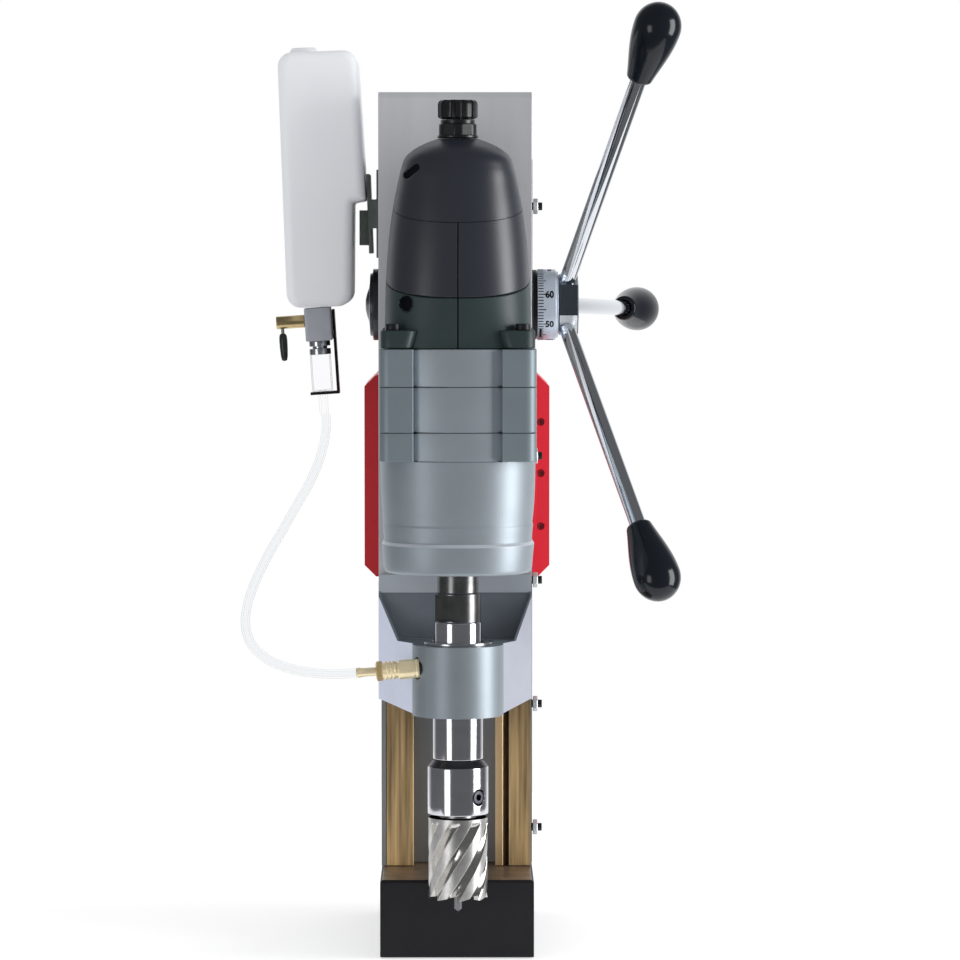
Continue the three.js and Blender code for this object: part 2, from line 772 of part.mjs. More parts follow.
function buildPanel() {
  const outline = roundedOutline(-panelWidth / 2, panelWidth / 2, panelZ - panelHeight / 2,
    panelZ + panelHeight / 2, panelRound);
  const panel = prismY(outline, housingBackY + fit, housingBackY + fit + panelThickness);
  addPiece(stand, "control_panel", cut(panel, ...panelHoles()), "blackPlastic");
  const faceY = housingBackY + fit + panelThickness + buttonProud;
  addPiece(stand, "start_button", buttonAlongY(startRadius, startX, faceY - buttonLength, faceY), "greenPlastic");
  addPiece(stand, "stop_button", buttonAlongY(stopRadius, stopX, faceY - buttonLength, faceY), "redPlastic");
  const profile = [[-rockerBack, -rockerCornerZ], [rockerCornerY, -rockerCornerZ],
    [rockerCornerY - rockerDip, 0], [rockerCornerY, rockerCornerZ], [-rockerBack, rockerCornerZ]];
  const rocker = addPiece(stand, "magnet_switch", prismX(profile, -rockerWidth / 2, rockerWidth / 2), "blackPlastic");
  rocker.position.set(rockerX, rockerPivotY, panelZ);
}

function buildBattery() {
  const topZ = batteryBottomZ + batteryHeight;
  const backY = batteryFrontY + batteryDepth;
  const body = prismZ(roundedOutline(-batteryWidth / 2, batteryWidth / 2, batteryFrontY, backY, batteryRound),
    batteryBottomZ, topZ);
  const slotTopZ = batteryBottomZ + fit + railLength + fit;
  const stemSlot = block(-railStemWidth / 2 - fit, railStemWidth / 2 + fit, batteryFrontY - overrun,
    housingBackY + railStemDepth + fit, batteryBottomZ - overrun, slotTopZ);
  const headSlot = block(-railHeadWidth / 2 - fit, railHeadWidth / 2 + fit, housingBackY + railStemDepth - fit,
    housingBackY + railStemDepth + railHeadDepth + fit, batteryBottomZ - overrun, slotTopZ);
  const latchY = (batteryFrontY + backY) / 2;
  const well = block(-latchWidth / 2 - fit, latchWidth / 2 + fit, latchY - latchDepth / 2 - fit,
    latchY + latchDepth / 2 + fit, topZ + latchProud - latchHeight - latchTravel - fit, topZ + overrun);
  addPiece(stand, "battery_pack", cut(body, stemSlot, headSlot, well), "blackPlastic");
  const latch = block(-latchWidth / 2, latchWidth / 2, latchY - latchDepth / 2, latchY + latchDepth / 2,
    topZ + latchProud - latchHeight, topZ + latchProud);
  addPiece(stand, "battery_latch", latch, "redPlastic");
}

function buildShaftBearings() {
  const inner = shaftRadius + fit;
  const wallStart = halfColumn - columnWall;
  const flangeEnd = halfColumn + fit + bushFlangeThickness;
  const right = turnedX([[inner, wallStart], [bushRadius, wallStart], [bushRadius, halfColumn + fit],
    [bushFlangeRadius, halfColumn + fit], [bushFlangeRadius, flangeEnd], [inner, flangeEnd], [inner, wallStart]]);
  addPiece(stand, "bush_right", right, "darkSteel").position.copy(feedGroup.position);
  const left = turnedX([[inner, -halfColumn], [bushRadius, -halfColumn], [bushRadius, -wallStart],
    [inner, -wallStart], [inner, -halfColumn]]);
  addPiece(stand, "bush_left", left, "bronze").position.copy(feedGroup.position);
  const [innerX, outerX] = [-halfColumn - fit, -halfColumn - fit - coverThickness];
  const domeX = outerX - coverDomeHeight;
  const cupX = outerX + fit;
  const cover = turnedX([[0, domeX], [coverDomeRadius * 0.7, domeX + coverDomeHeight * 0.2],
    [coverDomeRadius, outerX], [coverRadius, outerX], [coverRadius, innerX],
    [shaftRadius + 1, innerX], [shaftRadius + 1, cupX], [0, cupX]]);
  addPiece(stand, "shaft_cover", cover, "blackPlastic").position.copy(feedGroup.position);
}

function armMatrix(arm) {
  const turn = new THREE.Matrix4().makeRotationX(armTurn + (arm * 2 * Math.PI) / armCount);
  const splay = new THREE.Matrix4().makeRotationZ(-armSplay);
  const lay = new THREE.Matrix4().makeRotationX(-upright);
  const root = new THREE.Matrix4().makeTranslation(armRootX, 0, 0);
  return root.multiply(turn).multiply(splay).multiply(lay);
}

function knobProfile() {
  const widest = knobLength * knobWidestShare;
  const swell = knobRadius - knobNeckRadius;
  const sideShares = [0.04, 0.25, 0.5, 0.75, 1];
  const noseShares = [0.35, 0.62, 0.84, 0.96];
  const side = sideShares.map((s) => [knobNeckRadius + swell * Math.sin(s ** 1.15 * upright), s * widest]);
  const nose = noseShares.map((s) => [knobRadius * Math.sqrt(1 - s * s), widest + s * (knobLength - widest)]);
  const bore = armRadius + fit;
  return [[0, knobBore], [bore, knobBore], [bore, 0], [knobNeckRadius * 0.9, 0], ...side, ...nose, [0, knobLength]];
}

function buildFeed() {
  const leftEnd = -halfColumn - fit - coverThickness + fit + fit;
  const shoulder = ringStartX - fit;
  const teethHalf = pinionWidth / 2;
  const toothAtRack = Math.PI;
  const pinion = prismX(gearOutline(pinionTeeth, feedModule, toothAtRack), -teethHalf, teethHalf);
  const rightEnd = hubStartX + hubWidth * 0.6;
  const core = join(rodX(shaftRadius, leftEnd, shoulder), rodX(shaftEndRadius, shoulder - overrun, rightEnd));
  addPiece(feedGroup, "pinion_shaft", join(core, pinion), "steel");
  const bore = shaftEndRadius + fit;
  const ringEnd = ringStartX + ringWidth;
  const ring = turnedX([[bore, ringStartX], [ringRadius, ringStartX], [ringRadius, ringEnd],
    [ringRimRadius, ringEnd], [ringRimRadius, ringEnd + ringRimWidth], [bore, ringEnd + ringRimWidth],
    [bore, ringStartX]], largeSides);
  addPiece(feedGroup, "scale_ring", ring, "aluminium");
  const hexagon = regularOutline(6, hubInnerRadius, armTurn);
  const hubBody = cut(prismX(hexagon, hubStartX, hubStartX + hubWidth),
    rodX(bore, hubStartX - overrun, rightEnd + fit));
  const socket = [[0, armStudStart - fit], [armStudRadius + fit, armStudStart - fit],
    [armStudRadius + fit, armStart - fit], [armRadius + fit, armStart - fit],
    [armRadius + fit, armStart + hubWidth], [0, armStart + hubWidth]];
  const sockets = Array.from({ length: armCount }, (_, arm) =>
    turned(socket, smallSides).applyMatrix4(armMatrix(arm)),
  );
  addPiece(feedGroup, "handle_hub", cut(hubBody, ...sockets), "darkSteel");
  const knobStart = armReach - knobLength;
  const rodEnd = knobStart + knobBore - fit;
  const rodProfile = [[0, armStudStart], [armStudRadius, armStudStart], [armStudRadius, armStart],
    [armRadius, armStart], [armRadius, rodEnd], [0, rodEnd]];
  for (let arm = 0; arm < armCount; arm += 1) {
    const arms = new THREE.Group();
    arms.applyMatrix4(armMatrix(arm));
    feedGroup.add(arms);
    addPiece(arms, `handle_rod_${arm + 1}`, turned(rodProfile, smallSides), "chrome");
    const knob = addPiece(arms, `handle_knob_${arm + 1}`, turned(knobProfile(), 16), "blackPlastic");
    knob.position.set(0, 0, knobStart);
  }
}

function buildCarriage() {
  const half = carriageWidth / 2;
  const profile = [[carriageFrontY, carriageBottomZ], [carriageFrontY, carriageTopZ - carriageChamfer],
    [carriageFrontY + carriageChamfer, carriageTopZ], [carriageBackY, carriageTopZ],
    [carriageBackY, carriageBottomZ]];
  const plate = prismX(profile, carriageShift - half, carriageShift + half);
  const tongue = prismZ([[channelLeftX + fit, carriageBackY - overrun], [channelLeftX + fit, wayFrontY],
    [channelLeftX + fit - dovetailSet, tongueBackY], [channelRightX - fit + dovetailSet, tongueBackY],
    [channelRightX - fit, wayFrontY], [channelRightX - fit, carriageBackY - overrun]],
    carriageBottomZ, carriageTopZ - carriageChamfer);
  addPiece(carriageGroup, "carriage", join(plate, tongue), "aluminium");
  const rackZ = shaftZ;
  const rack = prismX(rackOutline(rackTeeth, feedModule, rackPitchY, tongueBackY + fit), -rackWidth / 2, rackWidth / 2);
  addPiece(carriageGroup, "rack", rack, "steel").position.set(0, 0, rackZ);
}

// The hose fitting's own frame: its axis lies along X and leans a little, in front of the spindle axis
function fittingPlaced(shape) {
  return shape.rotateY(-fittingTilt).translate(0, spindleY - fittingForward, fittingZ);
}

function buildBracket() {
  const backY = carriageFrontY - fit;
  const half = carriageWidth / 2;
  const [left, right] = [carriageShift - half, carriageShift + half];
  const backPlate = block(left, right, backY - bracketBackThickness, backY, bracketTopZ - overrun, gussetTopZ);
  const flankX = bracketRingRadius * 0.985;
  const flankY = spindleY + bracketRingRadius * 0.17;
  const plan = [[left, backY], [left, backY - gussetThickness], [spindleX - flankX, flankY],
    [spindleX + flankX, flankY], [right, backY - gussetThickness], [right, backY]];
  const ring = rod(bracketRingRadius, carriageBottomZ, bracketTopZ, largeSides).translate(spindleX, spindleY, 0);
  const web = prismZ(plan, carriageBottomZ, bracketTopZ);
  const reachY = backY + (flankY - backY) * gussetShare;
  const rise = prismX([[backY, bracketTopZ - overrun], [backY, gussetTopZ], [reachY, bracketTopZ],
    [reachY, bracketTopZ - overrun]], left - overrun, right + overrun);
  const inner = [[left + gussetThickness, backY + overrun], [left + gussetThickness, backY - gussetThickness],
    [spindleX - flankX + gussetThickness, flankY], [spindleX + flankX - gussetThickness, flankY],
    [right - gussetThickness, backY - gussetThickness], [right - gussetThickness, backY + overrun]];
  const gussets = cut(overlap(rise, prismZ(plan, carriageBottomZ, gussetTopZ)),
    prismZ(inner, bracketTopZ, gussetTopZ + overrun));
  const bore = rod(bracketBoreRadius, carriageBottomZ - overrun, bracketTopZ + overrun).translate(spindleX, spindleY, 0);
  const port = fittingPlaced(rodX(fittingStubRadius + fit, fittingTipX, 0, smallSides));
  const spotFace = fittingPlaced(rodX(fittingBodyRadius + 1, fittingTipX, fittingBodyEndX + fit, smallSides));
  addPiece(carriageGroup, "bearing_bracket", cut(join(ring, web, gussets, backPlate), bore, port, spotFace), "castGrey");
  const middleZ = (carriageBottomZ + bracketTopZ) / 2;
  const bush = tube(bearingInnerRadius, bracketBoreRadius - fit, middleZ - bearingLength / 2, middleZ + bearingLength / 2);
  const feedHole = fittingPlaced(rodX(fittingBore, fittingTipX, 0, smallSides));
  addPiece(carriageGroup, "spindle_bearing", cut(bush.translate(spindleX, spindleY, 0), feedHole), "bronze");
}

function buildFitting() {
  const barb = (x) => [[fittingBarbRadius, x], [fittingBarbRadius * 0.8, x]];
  const barbLength = fittingBarbEndX - fittingTipX;
  const profile = [[fittingBore, fittingTipX], [fittingBarbRadius * 0.8, fittingTipX],
    ...[0.25, 0.5, 0.75].flatMap((share) => barb(fittingTipX + share * barbLength)),
    [fittingBarbRadius, fittingBarbEndX], [fittingNutRadius, fittingBarbEndX], [fittingNutRadius, fittingNutEndX],
    [fittingBodyRadius, fittingNutEndX], [fittingBodyRadius, fittingBodyEndX], [fittingStubRadius, fittingBodyEndX],
    [fittingStubRadius, fittingStubEndX], [fittingBore, fittingStubEndX], [fittingBore, fittingTipX]];
  addPiece(carriageGroup, "hose_fitting", fittingPlaced(turnedX(profile, 16)), "brass");
}

function buildSpindle() {
  const base = [[0, spindleNoseZ], [spindleNoseRadius, spindleNoseZ], [spindleNoseRadius, carriageBottomZ],
    [spindleRadius, carriageBottomZ], [spindleRadius, spindlePolishTopZ], [spindleNeckRadius, spindlePolishTopZ],
    [spindleNeckRadius, spindleNeckTopZ], [spindleCollarRadius, spindleNeckTopZ],
    [spindleCollarRadius, gearboxBottomZ + gearboxFloor / 2], [spindleShaftRadius, gearboxBottomZ + gearboxFloor / 2],
    [spindleShaftRadius, spindleTopZ], [0, spindleTopZ]];
  const bore = rod(spindleBoreRadius, spindleNoseZ - overrun, spindleNoseZ + spindleBoreDepth);
  const flat = block(-spindleNeckRadius - overrun, spindleNeckRadius + overrun, -spindleNeckRadius - overrun,
    -spindleNeckRadius + flatDepth, flatBottomZ, flatTopZ);
  addPiece(spindleGroup, "spindle", cut(turned(base), bore, flat), "steel");
  const gapToSmall = Math.PI / largeGearTeeth;
  const wheel = prismZ(gearOutline(largeGearTeeth, gearModule, upright + gapToSmall), lowerGearZ, lowerGearZ + gearWidth);
  addPiece(spindleGroup, "drive_gear", cut(wheel, rod(spindleShaftRadius + fit, lowerGearZ - overrun,
    lowerGearZ + gearWidth + overrun)), "darkSteel");
}

function clampPlaced(shape) {
  return shape.rotateX(upright).rotateZ(clampScrewTurn).translate(0, 0, clampScrewZ);
}

function buildTool() {
  const holderTopZ = spindleNoseZ - fit;
  const shank = spindleBoreRadius - fit;
  const holder = turned([[0, holderBottomZ], [holderRadius, holderBottomZ], [holderRadius, holderTopZ - holderChamfer],
    [spindleNoseRadius, holderTopZ], [shank, holderTopZ], [shank, holderTopZ + holderShankLength],
    [0, holderTopZ + holderShankLength]]);
  const bore = rod(holderBoreRadius, holderBottomZ - overrun, holderBottomZ + holderBoreDepth);
  const pilotRoom = rod(pilotRadius + fit, holderBottomZ, pilotTipZ + pilotLength + pilotTravel + fit);
  const screwHole = clampPlaced(rod(clampScrewRadius + fit, 0, holderRadius + overrun, smallSides));
  addPiece(spindleGroup, "tool_holder", cut(holder, bore, pilotRoom, screwHole), "steel");
  const screwStart = cutterShankRadius + fit;
  const screw = rod(clampScrewRadius, screwStart, holderRadius - fit, smallSides);
  const socket = rod(clampScrewSocketRadius, holderRadius - clampScrewSocketDepth, holderRadius + overrun, 6);
  addPiece(spindleGroup, "clamp_screw", cut(clampPlaced(screw), clampPlaced(socket)), "darkSteel");
  const cutterLength = cutterTopZ - cutterBottomZ;
  const rings = Array.from({ length: cutterSteps + 1 }, (_, step) => {
    const share = step / cutterSteps;
    return Array.from({ length: cutterFlutes * 6 }, (_unused, k) => {
      const angle = (k * 2 * Math.PI) / (cutterFlutes * 6) + share * cutterTwist;
      const radius = k % 6 < 4 ? cutterRadius : cutterRadius - cutterFluteDepth;
      return [radius * Math.cos(angle), radius * Math.sin(angle), cutterBottomZ + share * cutterLength];
    });
  });
  const shankTop = holderBottomZ + holderBoreDepth - fit;
  const cup = rod(cutterInnerRadius, cutterBottomZ - overrun, cutterBottomZ + cutterInnerDepth);
  const pilotHole = rod(pilotRadius + fit, cutterBottomZ, shankTop + overrun);
  const cutter = cut(join(lofted(rings), rod(cutterShankRadius, cutterTopZ - overrun, shankTop)), cup, pilotHole);
  addPiece(spindleGroup, "annular_cutter", cutter, "steel");
  const tip = pilotTipZ + pilotRadius;
  const pilot = turned([[0, pilotTipZ], [pilotRadius, tip], [pilotRadius, pilotTipZ + pilotLength],
    [0, pilotTipZ + pilotLength]], smallSides);
  addPiece(spindleGroup, "pilot_pin", pilot, "steel");
}

// One level of the gearbox: a soft square with a pillar at each corner down to pillarBottomZ
function gearboxLevel(levelShares, z0, z1) {
  const body = lofted(levelShares.map(([rise, width]) =>
    squircle(gearboxHalf * width, gearboxExponent, z0 + (z1 - z0) * rise)));
  const low = Math.max(z0, pillarBottomZ);
  const pillars = [-1, 1].flatMap((sx) => [-1, 1].map((sy) => {
    const [xa, xb] = [sx * pillarInnerX, sx * gearboxHalf];
    const [ya, yb] = [sy * gearboxHalf, sy * (gearboxHalf - pillarDepth)];
    return prismZ(roundedOutline(Math.min(xa, xb), Math.max(xa, xb), Math.min(ya, yb), Math.max(ya, yb),
      pillarRound, 3), low, z1);
  }));
  return join(body, ...pillars);
}

function straightLevel(z0, z1) {
  return gearboxLevel([[0, 1], [1, 1]], z0, z1);
}

function buildGearbox() {
  const floorZ = gearboxBottomZ + gearboxFloor;
  const boss = rod(layshaftBossRadius, floorZ - overrun, layshaftBottomZ + gearWidth).translate(0, gearSpacing, 0);
  const lower = join(cut(gearboxLevel(gearboxLevelShares, gearboxBottomZ, gearboxTopZ),
    rod(gearboxBoreRadius, floorZ, gearboxTopZ + overrun, largeSides)), boss);
  addPiece(motorGroup, "gearbox_housing", cut(lower,
    rod(spindleCollarRadius + fit, gearboxBottomZ - overrun, floorZ + overrun),
    rod(layshaftRadius + fit, layshaftBottomZ - fit, gearboxTopZ).translate(0, gearSpacing, 0)), "aluminium");
  const webZ = gearPlateTopZ - plateWebThickness;
  addPiece(motorGroup, "gear_plate", cut(straightLevel(gearboxTopZ + fit, gearPlateTopZ),
    rod(gearboxBoreRadius, gearboxTopZ - overrun, webZ, largeSides),
    rod(shaftHoleRadius, webZ - overrun, gearPlateTopZ + overrun),
    rod(layshaftRadius + fit, webZ - overrun, gearPlateTopZ + overrun, smallSides).translate(0, gearSpacing, 0)),
  "aluminium");
  addPiece(motorGroup, "motor_flange", cut(straightLevel(gearPlateTopZ + fit, flangeTopZ - fit),
    rod(motorBoreRadius, gearPlateTopZ + plateWebThickness, flangeTopZ + overrun),
    rod(rotorShaftRadius + fit, gearPlateTopZ - overrun, flangeTopZ, smallSides)), "aluminium");
}

function buildGearTrain() {
  const gap = Math.PI / largeGearTeeth;
  const small = (firstTooth, z0, z1) => prismZ(gearOutline(smallGearTeeth, gearModule, firstTooth), z0, z1);
  const large = prismZ(gearOutline(largeGearTeeth, gearModule, -upright + gap), upperGearZ, upperGearZ + gearWidth);
  const layshaft = join(rod(layshaftRadius, layshaftBottomZ, layshaftTopZ, smallSides),
    small(-upright, lowerGearZ, lowerGearZ + gearWidth), large);
  addPiece(motorGroup, "layshaft", layshaft, "darkSteel").position.set(0, gearSpacing, 0);
  const core = turned([[0, rotorBottomZ], [rotorShaftRadius, rotorBottomZ], [rotorShaftRadius, fanBottomZ],
    [fanRadius, fanBottomZ], [fanRadius, fanBottomZ + fanThickness], [rotorShaftRadius, fanBottomZ + fanThickness],
    [rotorShaftRadius, statorBottomZ], [rotorRadius, statorBottomZ], [rotorRadius, statorBottomZ + statorHeight],
    [rotorShaftRadius, statorBottomZ + statorHeight], [rotorShaftRadius, commutatorBottomZ],
    [commutatorRadius, commutatorBottomZ], [commutatorRadius, commutatorBottomZ + commutatorHeight],
    [rotorShaftRadius, commutatorBottomZ + commutatorHeight], [rotorShaftRadius, rotorTopZ], [0, rotorTopZ]]);
  addPiece(motorGroup, "armature", join(core, small(upright, rotorBottomZ, upperGearZ + gearWidth)), "darkSteel");
}

// Half of space above or below the seam between motor housing and cap, as a big tilted block
function seamSide(above) {
  const reach = 3 * gearboxHalf;
  const side = above ? block(-reach, reach, -reach, reach, fit / 2, 2 * reach)
    : block(-reach, reach, -reach, reach, -2 * reach, -fit / 2);
  return side.rotateX(seamTilt).translate(0, 0, seamZ);
}

function buildMotor() {
  const skin = lofted(motorLevelShares.map(([rise, width, exponent]) =>
    squircle(motorHalf * width, exponent, flangeTopZ + motorHeight * rise)));
  const bore = rod(motorBoreRadius, flangeTopZ - overrun, seamZ + motorBoreRadius * Math.tan(seamTilt) + overrun,
    largeSides);
  const capBore = rod(capBoreRadius, flangeTopZ, capBoreTopZ);
  const bearing = rod(rotorShaftRadius + fit, capBoreTopZ - overrun, rotorTopZ + fit, smallSides);
  const glandHole = rod(glandStubRadius + fit, motorTopZ - glandStubLength - fit, glandTopZ);
  const ears = [-1, 1].flatMap((sx) => [-1, 1].map((sy) => {
    const [xa, xb] = [sx * earInnerX, sx * earOuterX].sort((a, b) => a - b);
    const [ya, yb] = [sy * (earOuterX - earDepth), sy * earOuterX].sort((a, b) => a - b);
    return prismZ(roundedOutline(xa, xb, ya, yb, pillarRound, 3), flangeTopZ, flangeTopZ + earHeight);
  }));
  const lowerSkin = overlap(skin, seamSide(false));
  addPiece(motorGroup, "motor_housing", cut(join(lowerSkin, ...ears), bore), "blackPlastic");
  const capSkin = overlap(skin, seamSide(true));
  addPiece(motorGroup, "motor_cap", cut(capSkin, capBore, bearing, glandHole), "blackPlastic");
  const stator = tube(statorInnerRadius, motorBoreRadius - fit, statorBottomZ, statorBottomZ + statorHeight,
    largeSides);
  addPiece(motorGroup, "stator", stator, "copper");
}

function buildGland() {
  const baseZ = motorTopZ + fit;
  const hexagon = prismZ(regularOutline(6, glandHexRadius * Math.cos(Math.PI / 6), upright), baseZ, glandSplitZ - fit);
  const round = turned([[0, baseZ - glandStubLength], [glandStubRadius, baseZ - glandStubLength],
    [glandStubRadius, baseZ], [glandRadius, baseZ], [glandRadius, glandSplitZ - fit], [0, glandSplitZ - fit]]);
  addPiece(motorGroup, "gland_body", overlap(round, join(hexagon, rod(glandStubRadius, baseZ - glandStubLength,
    baseZ + fit))), "blackPlastic");
  const ribbed = Array.from({ length: glandRibs * 4 }, (_, k) => {
    const angle = (k * 2 * Math.PI) / (glandRibs * 4);
    const radius = k % 4 < 2 ? glandRadius : glandRadius - glandRibDepth;
    return [radius * Math.cos(angle), radius * Math.sin(angle)];
  });
  const envelope = turned([[0, glandSplitZ], [glandRadius, glandSplitZ], [glandRadius, glandTopZ - glandChamfer],
    [glandRadius - glandChamfer, glandTopZ], [glandDishRadius, glandTopZ],
    [glandDishRadius - glandChamfer, glandTopZ - glandDish], [0, glandTopZ - glandDish]], largeSides);
  addPiece(motorGroup, "gland_nut", overlap(prismZ(ribbed, glandSplitZ, glandTopZ), envelope), "blackPlastic");
}

function leaning(shape, x, z, lean) {
  return shape.rotateY(lean).translate(x, 0, z);
}

function buildTankBracket() {
  const half = tankPlateDepth / 2;
  const baseX = -halfColumn - fit;
  const base = block(baseX - tankPlateThickness, baseX, -half, half, tankPlateBottomZ, tankPlateTopZ);
  const middleZ = (tankPlateBottomZ + tankPlateTopZ) / 2;
  const clipHalf = (tankPlateTopZ - tankPlateBottomZ) / 2 - tankPlateThickness;
  const clip = leaning(block(-clipPlateThickness / 2, clipPlateThickness / 2, -half, half, -clipHalf, clipHalf),
    clipPlateX, middleZ, tankLean);
  const spacer = block(clipPlateX, baseX - tankPlateThickness / 2, -half, half,
    middleZ - clipSpacer / 2, middleZ + clipSpacer / 2);
  const hook = block(hookX, clipPlateX, -hookDepth / 2, hookDepth / 2, hookBottomZ, hookTopZ);
  addPiece(stand, "tank_bracket", join(base, clip, spacer, hook), "zinc");
}

// Outline of the tank in its own [x, z] frame, drawn in by inset: a notch on the right takes the hook
function tankOutline(inset) {
  const [top, left] = [tankHalfHeight - inset, inset - tankHalf];
  const [topRight, notchRight] = [tankTopRight - inset, tankNotchRight - inset];
  const lowRight = notchRight - tankNotchDepth;
  const footRight = lowRight - tankFootDraft;
  const round = Math.max(tankRound - inset, tankWall);
  const corner = (cx, cz, quarter) => Array.from({ length: 5 }, (_, k) => {
    const angle = (quarter + k / 4) * upright;
    return [cx + round * Math.cos(angle), cz + round * Math.sin(angle)];
  });
  return [
    ...corner(topRight - round, top - round, 0),
    ...corner(left + round, top - round, 1),
    ...corner(left + round, -top + round, 2),
    ...corner(footRight - round, -top + round, 3),
    [lowRight, tankNotchZ - tankNotchSlope + inset],
    [notchRight, tankNotchZ + inset],
  ];
}

// The outline carried along Y with its front and back edges rounded off in steps
function tankBody(inset, halfDepth) {
  const edgeShares = [0, 0.3, 0.65, 1];
  const rings = [-1, 1].flatMap((side) => {
    const ordered = side < 0 ? edgeShares : edgeShares.toReversed();
    return ordered.map((share) => {
      const drawn = tankEdge * (1 - Math.sin(Math.acos(1 - share)));
      const y = side * (halfDepth - tankEdge * share);
      return tankOutline(inset + drawn).map(([x, z]) => [x, y, z]);
    });
  });
  return lofted(rings);
}

function buildTank() {
  const tank = new THREE.Group();
  tank.position.set(tankX, 0, tankZ);
  tank.rotation.y = tankLean;
  stand.add(tank);
  const hole = rod(tankHoleRadius, tankHalfHeight - tankWall - overrun, tankHalfHeight + overrun, roundSides)
    .translate(capX, 0, 0);
  const body = cut(tankBody(0, tankDepth / 2), tankBody(tankWall, tankDepth / 2 - tankWall), hole);
  addPiece(tank, "coolant_tank", body, "milkyPlastic");
  const top = tankHalfHeight + fit;
  const cap = turned([[0, top - capPlugLength], [capPlugRadius, top - capPlugLength], [capPlugRadius, top],
    [capRadius, top], [capRadius, top + capHeight * 0.7], [capRadius - capHeight * 0.3, top + capHeight],
    [0, top + capHeight]]).translate(capX, 0, 0);
  addPiece(tank, "tank_cap", cap, "milkyPlastic");
}

function buildValve() {
  const valve = new THREE.Group();
  valve.position.set(valveX, 0, valveZ);
  valve.rotation.y = valveLean;
  stand.add(valve);
  const [half, deep] = [valveWidth / 2, valveDepth / 2];
  const stubHole = rodX(brassStubRadius + fit, -half - overrun, -half + brassStubLength + fit, smallSides)
    .translate(0, 0, brassZ);
  addPiece(valve, "valve_block", cut(block(-half, half, -deep, deep, -valveHeight, 0), stubHole), "castGrey");
  const brassStart = -half - fit - brassLength;
  const brass = turnedX([[0, brassStart], [brassRadius, brassStart], [brassRadius, -half - fit],
    [brassStubRadius, -half - fit], [brassStubRadius, -half + brassStubLength], [0, -half + brassStubLength]], 16)
    .translate(0, 0, brassZ);
  const pinHole = rod(leverPinRadius + fit, leverTopZ, brassZ + fit, smallSides).translate(leverX, 0, 0);
  addPiece(valve, "valve_stem", cut(brass, pinHole), "brass");
  const [halfWide, halfThick] = [leverWidth / 2, leverThickness / 2];
  const handle = prismY([[-halfWide * 0.6, leverTopZ], [halfWide * 0.6, leverTopZ],
    [halfWide, leverTopZ - leverLength * 0.25], [halfWide * 0.8, leverTopZ - leverLength],
    [-halfWide * 0.8, leverTopZ - leverLength], [-halfWide, leverTopZ - leverLength * 0.25]], -halfThick, halfThick);
  const pin = rod(leverPinRadius, leverTopZ - fit, brassZ - leverPinTop, smallSides);
  addPiece(valve, "valve_lever", join(handle, pin), "blackPlastic").position.set(leverX, 0, 0);
  const glassTop = -valveHeight - fit;
  const glassLow = glassTop - glassLength;
  const nozzleLow = glassLow - nozzleLength;
  const glass = turned([[glassBoreRadius, glassTop], [glassRadius, glassTop], [glassRadius, glassLow],
    [nozzleRadius, glassLow], [nozzleRadius, nozzleLow], [nozzleBoreRadius, nozzleLow],
    [nozzleBoreRadius, glassLow + fit], [glassBoreRadius, glassLow + nozzleRadius], [glassBoreRadius, glassTop]], 16);
  addPiece(valve, "sight_glass", glass.translate(glassX, 0, 0), "clearPlastic");
  const footZ = glassLow - fit;
  const strap = prismY([[strapX, strapTopZ], [strapX + strapThickness, strapTopZ],
    [strapX + strapThickness, footZ - strapThickness], [strapFootX, footZ - strapThickness],
    [strapFootX, footZ], [strapX, footZ]], -strapWidth / 2, strapWidth / 2);
  const nozzleHole = rod(nozzleRadius + fit, footZ - overrun, footZ + overrun, smallSides).translate(glassX, 0, 0);
  addPiece(valve, "glass_strap", cut(strap, nozzleHole), "darkSteel");
}

function buildHose() {
  const path = new THREE.CatmullRomCurve3(hoseRoute.map(([x, y, z]) => new THREE.Vector3(x, y, z)), false, "centripetal");
  const section = shapeOf(regularOutline(hoseSides, hoseRadius * Math.cos(Math.PI / hoseSides), 0));
  const hose = new THREE.ExtrudeGeometry(section, { steps: hoseSteps, extrudePath: path, bevelEnabled: false });
  addPiece(stand, "coolant_hose", hose, "clearPlastic");
}

buildMagnet();
buildColumn();
buildWays();
buildHousing();
buildPanel();
buildBattery();
buildShaftBearings();
buildFeed();
buildCarriage();
buildBracket();
buildFitting();
buildSpindle();
buildTool();
buildGearbox();
buildGearTrain();
buildMotor();
buildGland();
buildTankBracket();
buildTank();
buildValve();
buildHose();

export default drill;
